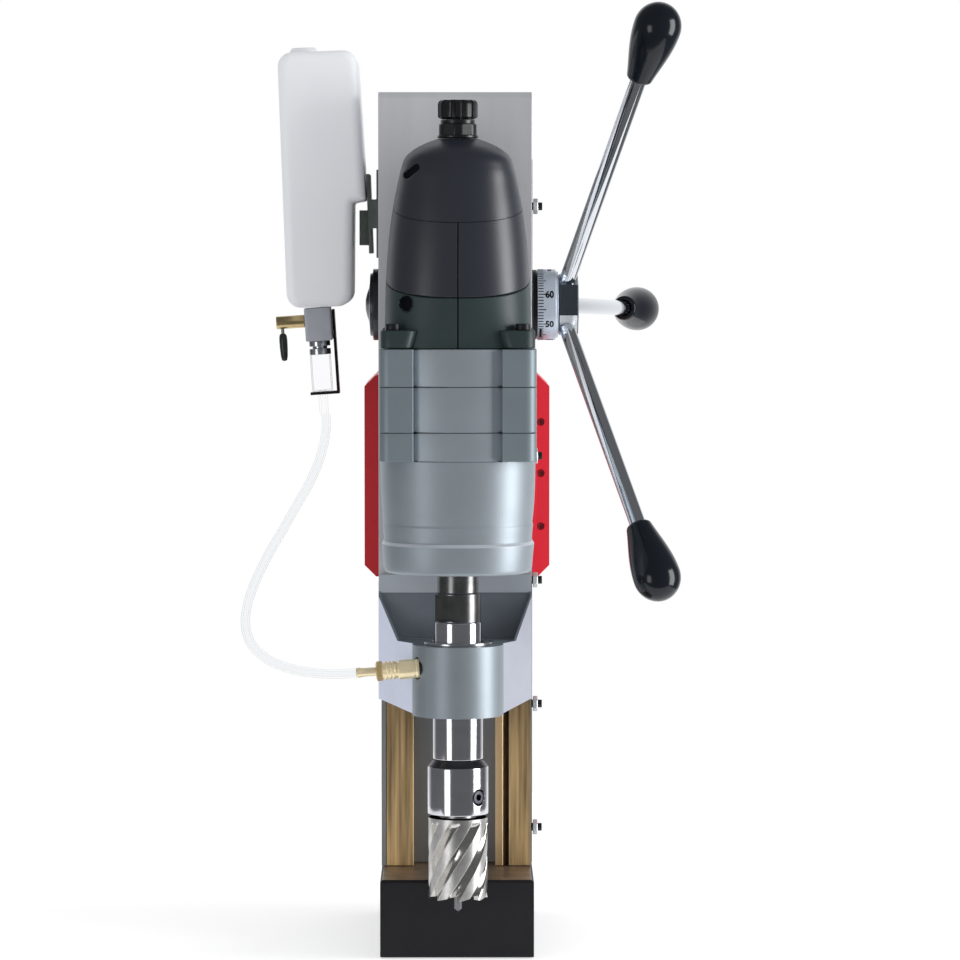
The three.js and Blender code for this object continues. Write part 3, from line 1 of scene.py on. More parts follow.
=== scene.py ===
import math
import bmesh
import bpy
import numpy as np
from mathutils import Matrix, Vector


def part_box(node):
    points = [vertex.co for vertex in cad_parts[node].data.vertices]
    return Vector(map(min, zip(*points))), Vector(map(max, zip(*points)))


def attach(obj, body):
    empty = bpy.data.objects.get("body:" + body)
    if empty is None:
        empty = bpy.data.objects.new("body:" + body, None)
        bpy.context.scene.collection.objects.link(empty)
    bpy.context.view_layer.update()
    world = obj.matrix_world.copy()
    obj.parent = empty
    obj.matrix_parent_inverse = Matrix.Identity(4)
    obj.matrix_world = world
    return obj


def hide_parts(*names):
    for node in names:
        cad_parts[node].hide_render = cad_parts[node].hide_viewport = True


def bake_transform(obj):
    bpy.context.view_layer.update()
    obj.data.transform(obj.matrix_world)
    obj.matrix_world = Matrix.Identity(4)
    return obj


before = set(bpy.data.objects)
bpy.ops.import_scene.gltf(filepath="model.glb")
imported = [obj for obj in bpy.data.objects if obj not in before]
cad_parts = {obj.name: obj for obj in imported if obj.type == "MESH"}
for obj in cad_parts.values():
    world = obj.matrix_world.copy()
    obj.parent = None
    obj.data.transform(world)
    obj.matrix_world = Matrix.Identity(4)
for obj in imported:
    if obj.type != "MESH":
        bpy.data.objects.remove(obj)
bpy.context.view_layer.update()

# The camera stands in front of the machine, a little above its middle and level with the motor,
# with a long lens, as in the photograph. Sizes below are in millimetres unless a name says otherwise.
mm = 0.001
scene = bpy.context.scene
eye_point = Vector((0.0, -2.41037, 0.39106))
aim_point = Vector((0.0125, -0.084, 0.261))
camera_data = bpy.data.cameras.new("camera")
camera_data.sensor_width = 36.0
camera_data.lens = 161.1
camera = bpy.data.objects.new("camera", camera_data)
camera.location = eye_point
camera.rotation_euler = (aim_point - eye_point).to_track_quat("-Z", "Y").to_euler()
scene.collection.objects.link(camera)
scene.camera = camera
scene.view_settings.view_transform = "Standard"


# The coolant hose is a clear 5 mm tube. It leaves the sight glass's nozzle on the left, falls in one
# loose curve and turns in to the brass fitting on the bearing bracket, which moves with the carriage.
def finish_piece(name, mesh, body, materials, nodes, sharp_angle, merge, flat_angle=0.0):
    """A mesh as one piece that rides on a body. Corners closer than merge are joined, flat faces too where
    a flat angle is given, faces are turned outwards, and edges past the sharp angle stay crisp."""
    work = bmesh.new()
    work.from_mesh(mesh)
    bmesh.ops.remove_doubles(work, verts=work.verts, dist=merge)
    if flat_angle:
        bmesh.ops.dissolve_limit(work, angle_limit=math.radians(flat_angle), verts=work.verts, edges=work.edges)
    else:
        bmesh.ops.dissolve_degenerate(work, dist=merge, edges=work.edges)
    bmesh.ops.recalc_face_normals(work, faces=work.faces)
    work.to_mesh(mesh)
    work.free()
    mesh.materials.clear()
    for material in materials:
        mesh.materials.append(material)
    mesh.shade_smooth()
    mesh.set_sharp_from_angle(angle=math.radians(sharp_angle))
    piece = bpy.data.objects.new(name, mesh)
    scene.collection.objects.link(piece)
    if body:
        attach(piece, body)
    if nodes:
        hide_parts(*nodes)
    return piece


def put_piece(name, skin, body, materials, nodes=(), sharp_angle=35.0):
    """A closed piece from a skin, which is corners (n x 3, millimetres) and faces."""
    corners, faces = skin
    mesh = bpy.data.meshes.new(name)
    mesh.from_pydata((np.asarray(corners, float) * mm).tolist(), [], [list(map(int, f)) for f in faces])
    return finish_piece(name, mesh, body, materials, nodes, sharp_angle, 1e-7)


def grid_faces(rows, columns):
    """Quads between neighbouring rows of points, where each row closes on itself."""
    row, column = np.meshgrid(np.arange(rows - 1), np.arange(columns), indexing="ij")
    a = row * columns + column
    b = row * columns + (column + 1) % columns
    return np.stack([a, b, b + columns, a + columns], axis=-1).reshape(-1, 4).tolist()


def smooth_path(points, count):
    """A centripetal Catmull-Rom curve through the points, sampled evenly along its length."""
    points = np.asarray(points, float)
    ends = [2 * points[0] - points[1], *points, 2 * points[-1] - points[-2]]
    samples = []
    for p0, p1, p2, p3 in zip(ends, ends[1:], ends[2:], ends[3:]):
        t1 = np.sqrt(np.linalg.norm(p1 - p0))
        t2 = t1 + np.sqrt(np.linalg.norm(p2 - p1))
        t3 = t2 + np.sqrt(np.linalg.norm(p3 - p2))
        t = np.linspace(t1, t2, 24, endpoint=False)[:, None]
        a = (t1 - t) / t1 * p0 + t / t1 * p1
        b = (t2 - t) / (t2 - t1) * p1 + (t - t1) / (t2 - t1) * p2
        c = (t3 - t) / (t3 - t2) * p2 + (t - t2) / (t3 - t2) * p3
        d = (t2 - t) / t2 * a + t / t2 * b
        e = (t3 - t) / (t3 - t1) * b + (t - t1) / (t3 - t1) * c
        samples.append((t2 - t) / (t2 - t1) * d + (t - t1) / (t2 - t1) * e)
    dense = np.vstack([*samples, points[-1:]])
    along = np.concatenate([[0], np.cumsum(np.linalg.norm(np.diff(dense, axis=0), axis=1))])
    even = np.linspace(0, along[-1], count)
    return np.stack([np.interp(even, along, dense[:, k]) for k in range(3)], axis=1), along[-1]


def round_section(path, radius, sides):
    """Circles square to a path: radius times (side cos a + up sin a), side and up at right angles to it."""
    forward = np.gradient(path, axis=0)
    forward /= np.linalg.norm(forward, axis=1)[:, None]
    side = np.cross(forward, [0.31, 0.86, 0.4])
    side /= np.linalg.norm(side, axis=1)[:, None]
    up = np.cross(forward, side)
    turn = np.linspace(0, 2 * np.pi, sides, endpoint=False)
    ring = np.cos(turn)[None, :, None] * side[:, None] + np.sin(turn)[None, :, None] * up[:, None]
    return path[:, None] + radius * ring


def fill_inputs(tree, node, inputs):
    """Each named or numbered input gets its value, or a link where the value is another node's output."""
    for socket, value in inputs.items():
        if isinstance(value, bpy.types.NodeSocket):
            tree.links.new(value, node.inputs[socket])
        else:
            node.inputs[socket].default_value = value


def add_node(tree, kind, inputs=None, **settings):
    """A new shader node of a kind, with its settings made and its inputs filled."""
    node = tree.nodes.new("ShaderNode" + kind)
    for setting, value in settings.items():
        setattr(node, setting, value)
    fill_inputs(tree, node, inputs or {})
    return node


def new_material(name, inputs):
    """A material with its node tree and its Principled shader, whose inputs are filled."""
    material = bpy.data.materials.new(name)
    material.use_nodes = True
    shader = material.node_tree.nodes["Principled BSDF"]
    fill_inputs(material.node_tree, shader, inputs)
    return material, material.node_tree, shader


def clear_plastic(name, tint, edge_tint, roughness):
    """Clear plastic: mostly see-through where it is seen square on, a tinted gloss towards its edges."""
    material, tree, shader = new_material(name, {"Base Color": (*edge_tint, 1), "Roughness": roughness,
                                                 "Specular IOR Level": 0.6})
    through = add_node(tree, "BsdfTransparent", {"Color": (*tint, 1)})
    facing = add_node(tree, "LayerWeight", {"Blend": 0.32})
    curve = add_node(tree, "MapRange", {"Value": facing.outputs["Facing"], "From Min": 0.4, "From Max": 0.95,
                                        "To Min": 0.0, "To Max": 0.8})
    blend = add_node(tree, "MixShader", {"Fac": curve.outputs["Result"], 1: through.outputs["BSDF"],
                                         2: shader.outputs["BSDF"]})
    tree.links.new(blend.outputs["Shader"], tree.nodes["Material Output"].inputs["Surface"])
    return material


hose_route = [
    (-73.62, 0, 293.16), (-73.3, -0.3, 288), (-74.1, -2.5, 279.5), (-77.2, -7.8, 267.5),
    (-82.4, -16, 255.5), (-89.2, -26, 243.5), (-96, -37, 231.5), (-103, -50, 219.5),
    (-109.2, -64, 207), (-113.6, -78, 194.5), (-114.6, -90.5, 183), (-110.8, -101, 173.2),
    (-101.8, -109, 165.8), (-88.5, -113.4, 161), (-74.5, -115, 158.9), (-63, -115, 158.5),
    (-53.96, -115, 159.14),
]
hose_radius, hose_bore, hose_sides = 2.5, 1.5, 20
hose_path, hose_length = smooth_path(hose_route, 110)
hose_wall = np.concatenate([round_section(hose_path, hose_radius, hose_sides),
                            round_section(hose_path, hose_bore, hose_sides)[::-1]])
hose_faces = grid_faces(len(hose_wall), hose_sides)
last_ring = (len(hose_wall) - 1) * hose_sides
hose_faces += [[last_ring + k, last_ring + (k + 1) % hose_sides, (k + 1) % hose_sides, k]
               for k in range(hose_sides)]
hose = put_piece("clear_hose", (hose_wall.reshape(-1, 3), hose_faces), None,
                 [clear_plastic("clear hose", (0.97, 0.975, 0.98), (0.62, 0.64, 0.66), 0.12)],
                 ["coolant_hose"], 60)
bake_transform(hose)

# The studio is a small pale floor, a white surround behind the machine with a darker room in front of
# it, and tall soft lamps at the left front and the right, so turned metal shows a dark middle, two
# bright streaks and bright edges.
floor_half, floor_front, floor_back, floor_drop = 0.45, -0.3, 0.62, -0.0006
floor_mesh = bpy.data.meshes.new("floor")
floor_mesh.from_pydata([(-floor_half, floor_front, floor_drop), (floor_half, floor_front, floor_drop),
                        (floor_half, floor_back, floor_drop), (-floor_half, floor_back, floor_drop)],
                       [], [(0, 1, 2, 3)])
floor = bpy.data.objects.new("floor", floor_mesh)
scene.collection.objects.link(floor)
pale_floor, tree, shader = new_material("pale floor", {"Base Color": (0.8, 0.8, 0.8, 1), "Roughness": 0.9,
                                                       "Specular IOR Level": 0.0})
glow = add_node(tree, "Emission", {"Strength": 0.5})
glowing = add_node(tree, "AddShader", {0: shader.outputs["BSDF"], 1: glow.outputs["Emission"]})
sight = add_node(tree, "LightPath")
seen = add_node(tree, "Math", {0: sight.outputs["Is Camera Ray"], 1: sight.outputs["Is Glossy Ray"]},
                operation="MAXIMUM")
shown = add_node(tree, "Math", {0: seen.outputs["Value"], 1: sight.outputs["Is Transmission Ray"]},
                 operation="MAXIMUM")
mixed = add_node(tree, "MixShader", {"Fac": shown.outputs["Value"], 1: shader.outputs["BSDF"],
                                     2: glowing.outputs["Shader"]})
tree.links.new(mixed.outputs["Shader"], tree.nodes["Material Output"].inputs["Surface"])
floor_mesh.materials.append(pale_floor)

world = bpy.data.worlds.new("surround")
scene.world = world
world.use_nodes = True
sky = world.node_tree
sight = add_node(sky, "LightPath")
direction = add_node(sky, "TexCoord")
parts = add_node(sky, "SeparateXYZ", {"Vector": direction.outputs["Generated"]})
to_back = add_node(sky, "MapRange", {"Value": parts.outputs["Y"], "From Min": 0.45, "From Max": 0.95,
                                     "To Min": 0.14, "To Max": 1.0}, interpolation_type="SMOOTHSTEP")
mirrored = add_node(sky, "Math", {0: sight.outputs["Is Glossy Ray"],
                                  1: sight.outputs["Is Transmission Ray"]}, operation="MAXIMUM")
even = add_node(sky, "Mix", {"A": 0.68, "B": to_back.outputs["Result"], "Factor": mirrored.outputs["Value"]})
room = sky.nodes["Background"]
fill_inputs(sky, room, {"Color": (0.97, 0.985, 1, 1), "Strength": even.outputs["Result"]})
white = add_node(sky, "Background", {"Color": (1, 1, 1, 1), "Strength": 1.0})
mixed = add_node(sky, "MixShader", {"Fac": sight.outputs["Is Camera Ray"], 1: room.outputs["Background"],
                                    2: white.outputs["Background"]})
sky.links.new(mixed.outputs["Shader"], sky.nodes["World Output"].inputs["Surface"])

lamp_aim = Vector((0, -0.08, 0.27))
for name, bearing, distance, height, wide, tall, watts in [
    ("left soft lamp", -40, 1.9, 0.06, 0.67, 0.95, 5.0),
    ("right soft lamp", 76, 1.7, 0.3, 0.8, 1.6, 27.0),
]:
    lamp_data = bpy.data.lights.new(name, "AREA")
    lamp_data.shape = "RECTANGLE"
    lamp_data.size, lamp_data.size_y, lamp_data.energy = wide, tall, watts
    lamp = bpy.data.objects.new(name, lamp_data)
    bearing = math.radians(bearing)
    lamp.location = (distance * math.sin(bearing), lamp_aim.y - distance * math.cos(bearing), height)
    lamp.rotation_euler = (lamp_aim - lamp.location).to_track_quat("-Z", "Y").to_euler()
    scene.collection.objects.link(lamp)

# The magnet block is a machined steel box with its coil potted in a groove below. Its sides are dipped
# in flat black paint, and its top face is bare, darkened steel, tinted brown as a painted reflection of
# the bronze guides.
def shade(red, green, blue):
    """A colour given as eight-bit sRGB values, as the linear values that shaders take."""
    value = np.array([red, green, blue]) / 255
    linear = np.where(value <= 0.04045, value / 12.92, ((value + 0.055) / 1.055) ** 2.4)
    return tuple(float(v) for v in linear)


def surface(name, color, roughness, metallic=0.0, mottle=0.0, scale=60.0, stretch=(1, 1, 1), bump=0.0,
            bump_scale=900.0, specular=0.5):
    """A finish whose colour wavers by the share mottle and whose surface is roughened by fine noise.
    Both noises lie on object coordinates times stretch."""
    material, tree, shader = new_material(name, {
        "Base Color": (*shade(*color), 1), "Roughness": roughness, "Metallic": metallic,
        "Specular IOR Level": specular})
    place = add_node(tree, "TexCoord")
    spread = add_node(tree, "Mapping", {"Vector": place.outputs["Object"], "Scale": stretch})
    if mottle:
        cloud = add_node(tree, "TexNoise", {"Vector": spread.outputs["Vector"], "Scale": scale,
                                            "Detail": 5.0})
        level = add_node(tree, "MapRange", {"Value": cloud.outputs["Fac"], "From Min": 0.3, "From Max": 0.7,
                                            "To Min": 1 - mottle, "To Max": 1 + mottle})
        tint = add_node(tree, "VectorMath", {0: shade(*color), "Scale": level.outputs["Result"]},
                        operation="SCALE")
        fill_inputs(tree, shader, {"Base Color": tint.outputs["Vector"]})
    if bump:
        grain = add_node(tree, "TexNoise", {"Vector": spread.outputs["Vector"], "Scale": bump_scale,
                                            "Detail": 3.0})
        raised = add_node(tree, "Bump", {"Height": grain.outputs["Fac"], "Strength": bump,
                                         "Distance": 0.0004})
        fill_inputs(tree, shader, {"Normal": raised.outputs["Normal"]})
    return material


def from_node(node, name, body, materials, edge=0.0, segments=2):
    """A fine copy of a CAD node: doubles merged, flat faces joined, sharp edges rounded by edge mm."""
    sharp_angle = 30
    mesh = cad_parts[node].data.copy()
    mesh.name = name
    piece = finish_piece(name, mesh, body, materials, [node], sharp_angle, 1e-6, 0.8)
    if edge:
        round_off = piece.modifiers.new("round off", "BEVEL")
        round_off.width = edge * mm
        round_off.segments = segments
        round_off.limit_method = "ANGLE"
        round_off.angle_limit = math.radians(sharp_angle)
        round_off.harden_normals = True
    return piece


def paint_faces(piece, material_of):
    """Each face gets the material whose index material_of gives for its centre in mm and its normal."""
    for face in piece.data.polygons:
        face.material_index = int(material_of(face.center / mm, face.normal))


def move_corners(piece, moved):
    """Moves a piece's corners: moved takes them in mm, n x 3, and gives their new places."""
    corners = np.empty(len(piece.data.vertices) * 3)
    piece.data.vertices.foreach_get("co", corners)
    piece.data.vertices.foreach_set("co", (moved(corners.reshape(-1, 3) / mm) * mm).ravel())


magnet = from_node("magnet_body", "magnet_block", "stand", [
    surface("black dip paint", (24, 24, 28), 0.55, mottle=0.12, scale=90, bump=0.1, specular=0.3),
    surface("bare magnet top, painted bronze reflection", (150, 130, 110), 0.42, 0.7, 0.3, 70)], 0.5)
# Faces turned up take the bare steel, whose brown tint is a painted reflection of the bronze guides.
paint_faces(magnet, lambda centre, normal: normal.z > 0.9)

# The column is a hollow grey casting. A thin machined cheek stands up along its left front edge, and
# its sides are painted.
column_grey = surface("column grey", (127, 130, 132), 0.48, 0.2, 0.1, 26, (2.4, 2.4, 0.12), 0.08,
                      specular=0.4)
from_node("column", "column_casting", "stand", [column_grey], 0.5)

# The ways are two flat bronze guides and a thin bronze gib strip, screwed to the column's front. Oil
# and wear leave brown stains and long scratches on them, and their milled edges shine. Their colour is
# also made darker higher up, and the right guide's outer side and rounded edges are plain grey.
guide_bronze = surface("worn bronze", (190, 160, 114), 0.4, 0.5, 0.6, 44, (9, 9, 0.3), 0.1, 700)
tree = guide_bronze.node_tree
place = add_node(tree, "SeparateXYZ", {"Vector": tree.nodes["Texture Coordinate"].outputs["Object"]})
# The guides' colour is scaled by height: darker towards the top, lighter towards the bottom.
height_darkening = add_node(tree, "MapRange", {"Value": place.outputs["Z"], "From Min": 0.05, "From Max": 0.14,
                                  "To Min": 1.3, "To Max": 0.52})
mottle_and_height_darkening = add_node(tree, "Math", {0: tree.nodes["Map Range"].outputs["Result"], 1: height_darkening.outputs["Result"]},
                 operation="MULTIPLY")
fill_inputs(tree, tree.nodes["Vector Math"], {"Scale": mottle_and_height_darkening.outputs["Value"]})
# Plain grey for the right guide's outer side face and its rounded edges.
grey_guide_side = surface("grey guide side", (118, 116, 112), 0.5, 0.3, 0.15, 60)
bright_bronze = surface("bright bronze", (222, 190, 146), 0.34, 0.7, 0.2, 44, (3, 3, 0.15))
from_node("guide_left", "left_guide", "stand", [guide_bronze], 0.5)
guide_right = from_node("guide_right", "right_guide", "stand", [guide_bronze, grey_guide_side], 0.5)
guide_right.modifiers["round off"].material = 1
paint_faces(guide_right, lambda centre, normal: normal.x > 0.9)
guide_set_in = 0.8
move_corners(guide_right, lambda at: at - np.array([guide_set_in, 0, 0]) * (at[:, :1] > at[:, 0].max() - 0.2))
from_node("gib_strip", "gib", "stand", [bright_bronze], 0.4)

# Five screws in a row press the gib strip. Each is a black socket screw with a zinc lock nut against
# the right guide.
zinc = surface("zinc plate", (222, 226, 229), 0.34, 0.6, 0.1, 300)
black_oxide = surface("black oxide", (52, 53, 56), 0.42, 0.8, 0.1, 300)


def rounded_profile(profile, radius, steps=4):
    """The same (r, h) outline with every inner corner replaced by a small arc of at most that radius."""
    profile = np.asarray(profile, float)
    result = [profile[0]]
    for before, corner, after in zip(profile, profile[1:], profile[2:]):
        back, on = before - corner, after - corner
        reach = min(radius, 0.45 * np.linalg.norm(back), 0.45 * np.linalg.norm(on))
        if reach < 1e-6:
            result.append(corner)
            continue
        start = corner + back / np.linalg.norm(back) * reach
        end = corner + on / np.linalg.norm(on) * reach
        for t in np.linspace(0, 1, steps + 1):
            result.append((1 - t) ** 2 * start + 2 * t * (1 - t) * corner + t ** 2 * end)
    return np.array(result + [profile[-1]])


def polar(reach, turn, height):
    """The points (reach cos turn, reach sin turn, height), where each value is an array or one number."""
    return np.stack(np.broadcast_arrays(reach * np.cos(turn), reach * np.sin(turn), height), axis=-1)


def turned(profile, sides=96):
    """A body of revolution: at each (radius r, height h), the ring (r cos a, r sin a, h) for a in 0..2 pi."""
    radius, height = np.asarray(profile, float).T[:, :, None]
    return polar(radius, np.linspace(0, 2 * np.pi, sides, endpoint=False), height)


def along(direction, start):
    """The 3 x 4 matrix that takes local z to a direction and the local origin to a start point."""
    axis = np.asarray(direction, float) / np.linalg.norm(direction)
    side = np.cross([0, 1, 0] if abs(axis[1]) < 0.9 else [1, 0, 0], axis)
    side /= np.linalg.norm(side)
    return np.stack([side, np.cross(axis, side), axis, np.asarray(start, float)], axis=1)


def placed(points, place):
    """Points carried by a 3 x 4 matrix of three axes and an origin."""
    return points @ place[:, :3].T + place[:, 3]


def closed_skin(grid):
    """Corners and faces of a grid of points whose rows are rings, with an n-gon over each end."""
    rows, columns = grid.shape[:2]
    faces = grid_faces(rows, columns)
    faces.append(list(range(columns))[::-1])
    faces.append(list(range((rows - 1) * columns, rows * columns)))
    return grid.reshape(-1, 3), faces


def put_turned(name, line, place, body, materials, nodes=(), rounding=0.0, sides=64, hollow=False,
               shift=(0, 0, 0), sharp_angle=35.0):
    """A turned piece from an outline of (radius, height), rounded, shifted and then carried to its place.
    A hollow piece's outline ends where it starts, and any other piece is closed over both ends."""
    grid = placed(turned(rounded_profile(line, rounding), sides) + shift, place)
    skin = (grid.reshape(-1, 3), grid_faces(len(grid), sides)) if hollow else closed_skin(grid)
    return put_piece(name, skin, body, materials, nodes, sharp_angle)


gib_screw_radius, socket_radius, socket_depth = 2.2, 1.1, 1.2
nut_start, nut_end, nut_reach, nut_chamfer = 42.3, 44.9, 4.3, 0.35
for number in range(1, 6):
    low, high = (np.array(corner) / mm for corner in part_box("gib_screw_%d" % number))
    middle_y, middle_z = (low[1] + high[1]) / 2, (low[2] + high[2]) / 2
    head, tip = low[0], high[0]
    turn = np.arange(6) * np.pi / 3 + np.pi / 6
    nut = [np.column_stack([np.full(6, x), middle_y + reach * np.cos(turn), middle_z + reach * np.sin(turn)])
           for x, reach in [(nut_start, nut_reach * 0.93), (nut_start + nut_chamfer, nut_reach),
                            (nut_end - nut_chamfer, nut_reach), (nut_end, nut_reach * 0.93)]]
    put_piece("lock_nut_%d" % number, closed_skin(np.stack(nut)), "stand", [zinc])
    screw_line = [(0, head), (gib_screw_radius, head), (gib_screw_radius, tip), (socket_radius + 0.2, tip),
                  (socket_radius, tip - socket_depth), (0, tip - socket_depth)]
    put_turned("gib_screw_end_%d" % number, screw_line, along((1, 0, 0), (0, middle_y, middle_z)), "stand",
               [black_oxide], ["gib_screw_%d" % number], 0.25, 32)

# The carriage is a thick cast plate that slides on the ways, with its top front edge chamfered. Its
# front is painted silver grey.
carriage_silver = surface("carriage silver", (204, 204, 208), 0.45, 0.25, 0.05, 30, (2.2, 2.2, 0.25), 0.06,
                          500)
carriage = from_node("carriage", "carriage_plate", "carriage", [carriage_silver], 0.8, 3)
carriage_low, raised_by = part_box("carriage")[0][2] / mm, 3.8
move_corners(carriage, lambda at: at + np.array([0, 0, raised_by]) * (at[:, 2:] < carriage_low + 1))

# The bearing bracket is one casting: a ring for the lower spindle bearing, two flanks back to the
# carriage that rise below, and thin gussets up to a back flange. Its ring and flanks are painted; the
# flanks' outer faces carry painted light, a bright lavender on the left and a darker copy as painted
# shade on the right. The pocket between the gussets is rough and painted dark as shade. A bright seal
# ring lies on the bearing.
spindle_x, spindle_y = 0.5, -104.0
upright = along((0, 0, 1), (spindle_x, spindle_y, 0))
# The flanks' outer faces take a bright lavender as painted light on the left and a darker copy as painted shade
# on the right; the pocket takes a darker grey as painted shade.
bracket = from_node("bearing_bracket", "bearing_bracket_casting", "carriage", [
    surface("bracket silver", (150, 159, 166), 0.46, 0.6, 0.03, 60, bump=0.05),
    surface("flank paint", (224, 229, 248), 0.4, 0.05, 0.03, 60, bump=0.05),
    surface("pocket, painted shade", (116, 123, 132), 0.5, 0.1, 0.1, 60, bump=0.2),
    surface("shaded flank paint", (173, 176, 188), 0.4, 0.05, 0.03, 60, bump=0.05)], 0.7, 3)
flank_rise, gusset_thinned, gusset_foot_thinned = 4.9, 4.9, 4.6
gusset_middle, gusset_inner, gusset_foot_y = -1, 35.9, -85.56
pocket_floor, pocket_front, flank_inner, gusset_inside, flank_back = 173, -100, 26, 28, -70
flank_top, gusset_low, bearing_edge = 136, 190, 8


def bracket_trimmed(corners):
    """The bracket's corners with the flanks' back ends raised and the gussets' inner faces moved out."""
    x, y, z = corners.T.copy()
    corners[(y > flank_back) & (z < flank_top), 2] += flank_rise
    on_gusset = (z > gusset_low) & (np.abs(np.abs(x - gusset_middle) - gusset_inner) < 0.3)
    corners[on_gusset, 0] += np.sign(x[on_gusset]) * gusset_thinned
    at_foot = (np.abs(y - gusset_foot_y) < 0.3) & (z > pocket_floor) & (np.abs(x) < gusset_inside)
    corners[at_foot, 0] += np.sign(x[at_foot]) * gusset_foot_thinned
    return corners


def bracket_material(centre, normal):
    """The flanks' outer faces are 1 on the left (painted light) and 3 on the right (painted shade), the
    pocket's faces 2 (painted shade), and the rest 0.
    """
    outward = normal.x * centre.x > 0
    if abs(normal.x) > 0.6 and outward and abs(centre.x) > flank_inner and normal.y < 0.1:
        return 1 if centre.x < 0 else 3
    from_axis = math.hypot(centre.x - spindle_x, centre.y - spindle_y)
    in_pocket = normal.z > 0.9 and centre.y > pocket_front or normal.y < -0.9 or not outward
    return 2 if centre.z > pocket_floor and from_axis > bearing_edge and in_pocket else 0


move_corners(bracket, bracket_trimmed)
paint_faces(bracket, bracket_material)
bracket.data.update()
rib_line = np.array([(-42.7, -64.5), (-42.7, -66.4), (40.7, -66.4), (40.7, -64.5)])
rib_rows = [np.column_stack([rib_line, np.full(4, z)]) + [0, inset, 0]
            for z, inset in [(198.2, 0.3), (198.5, 0), (208.0, 0), (208.3, 0.3)]]
put_piece("bracket_top_rib", closed_skin(np.stack(rib_rows)), "carriage",
          [surface("rib silver", (182, 188, 196), 0.42, 0.2, 0.05, 60, bump=0.05)], (), 30)
seal_line = [(14.2, 173.6), (18.9, 173.6), (18.9, 175.1), (18.2, 175.3), (14.2, 175.3), (14.2, 173.6)]
put_turned("bracket_seal_ring", seal_line, upright, "carriage",
           [surface("bright seal ring", (200, 202, 206), 0.2, 1.0)], (), 0.2, 96, True)
from_node("spindle_bearing", "bearing_bush", "carriage", [guide_bronze], 0.3)

# The brass hose fitting screws into the bracket's left side: a barb with fine ribs, a hexagon, a
# threaded sleeve and a round body against a black seal. Its axis rises a little to the right.
fitting_rise = math.radians(4.2)
fitting_axis = along((math.cos(fitting_rise), 0, math.sin(fitting_rise)), (0, -115, 163.1))
fitting_line = [(1.5, -54.3), (2.3, -54.3), (2.75, -53.6), (2.75, -52.6), (2.45, -51.6), (2.35, -50),
                (2.35, -43.6), (3.1, -42.6), (4.4, -42.3), (4.4, -41.9), (4.4, -39.4)]
for start in np.arange(-39.0, -33.0, 2.05):
    fitting_line += [(4.55, start), (5.0, start + 0.35), (5.0, start + 1.35), (4.55, start + 1.7)]
fitting_line += [(4.3, -32.2), (4.3, -31.6), (5.15, -31.3), (5.15, -23.2), (4.9, -22.4), (4.9, -21.9),
                 (5.1, -21.7), (5.1, -20.9), (3.9, -18.9), (3.9, -18.2), (1.5, -18.2), (1.5, -54.3)]
put_turned("brass_fitting", rounded_profile(fitting_line, 0.22, 3), fitting_axis, "carriage",
           [surface("machined brass", (254, 236, 196), 0.28, 0.5, 0.08, 200)], ["hose_fitting"], hollow=True)
put_turned("fitting_hexagon", [(4.2, -43.6), (5.3, -43.0), (5.3, -40.4), (4.6, -39.9)], fitting_axis,
           "carriage", [surface("dull brass", (222, 196, 142), 0.35, 0.7, 0.15, 200)], sides=6)
put_turned("fitting_seal", [(0, -20.4), (4.0, -20.4), (4.7, -20.2), (4.7, -18.6), (4.1, -18.3), (0, -18.3)],
           fitting_axis, "carriage", [surface("black rubber", (24, 24, 26), 0.6)], sides=48)

# The spindle is polished steel, with a duller neck above that has two wrench flats, one of them
# turned to the left front.
polished = surface("polished steel", (214, 214, 220), 0.12, 1.0, 0.04, 30, (1, 1, 12))
spindle_line = [(0, 111.8), (8.3, 111.8), (13.6, 111.8), (13.6, 135.5), (13, 135.5), (13, 185.5),
                (12.3, 185.9), (12.3, 186.5), (12.3, 186.7), (12.3, 200.5), (12.3, 200.7), (12.3, 201.2),
                (11.1, 201.6), (11.1, 217), (9, 217), (9, 287), (0, 287)]
spindle_skin = turned(rounded_profile(spindle_line, 0.4), 128)
neck_foot, flat_low, flat_high, flat_reach, flat_turn = 185.7, 186.6, 200.6, 8.9, math.radians(-43)
flat_normal = np.array([math.sin(flat_turn), -math.cos(flat_turn)])
on_neck = (spindle_skin[..., 2] > flat_low) & (spindle_skin[..., 2] < flat_high)
for side in (1, -1):
    reach = side * spindle_skin[..., :2] @ flat_normal
    cut = np.where(on_neck & (reach > flat_reach), reach - flat_reach, 0)
    spindle_skin[..., :2] -= side * cut[..., None] * flat_normal
spindle = put_piece("spindle_shaft", closed_skin(placed(spindle_skin, upright)), "spindle",
                    [polished, surface("dark neck steel", (122, 122, 122), 0.26, 1.0, 0.2, 160, bump=0.06)],
                    ["spindle"], 28)
paint_faces(spindle, lambda centre, normal: centre.z > neck_foot)

# The tool holder is a turned steel sleeve. A set screw with a hexagon socket sits in a hole in its
# right front and clamps the cutter's shank.
screw_turn, screw_height, hole_radius, hole_depth = math.radians(44), 91.9, 4.5, 4.5
holder_radius, chamfer_low, hole_half_turn, hole_span, row_step = 16.5, 107.7, 0.32, 5, 0.22
holder_line = rounded_profile([(0, 82.1), (8.0, 82.1), (holder_radius, 82.1), (holder_radius, 107.5),
                               (13.6, 111.5), (0, 111.5)], 0.5)
hole_low, hole_high = screw_height - hole_span, screw_height + hole_span
wall = [(holder_radius, z) for z in np.arange(hole_low, hole_high + 0.01, row_step)]
holder_rows = np.array([*(p for p in holder_line if p[1] < hole_low), *wall,
                        *(p for p in holder_line if p[1] > hole_high)])
bend = np.concatenate([np.arange(-hole_half_turn, hole_half_turn, 0.012),
                       np.arange(hole_half_turn, 2 * np.pi - hole_half_turn, 0.05)])
holder_turn = screw_turn - np.pi / 2 + bend
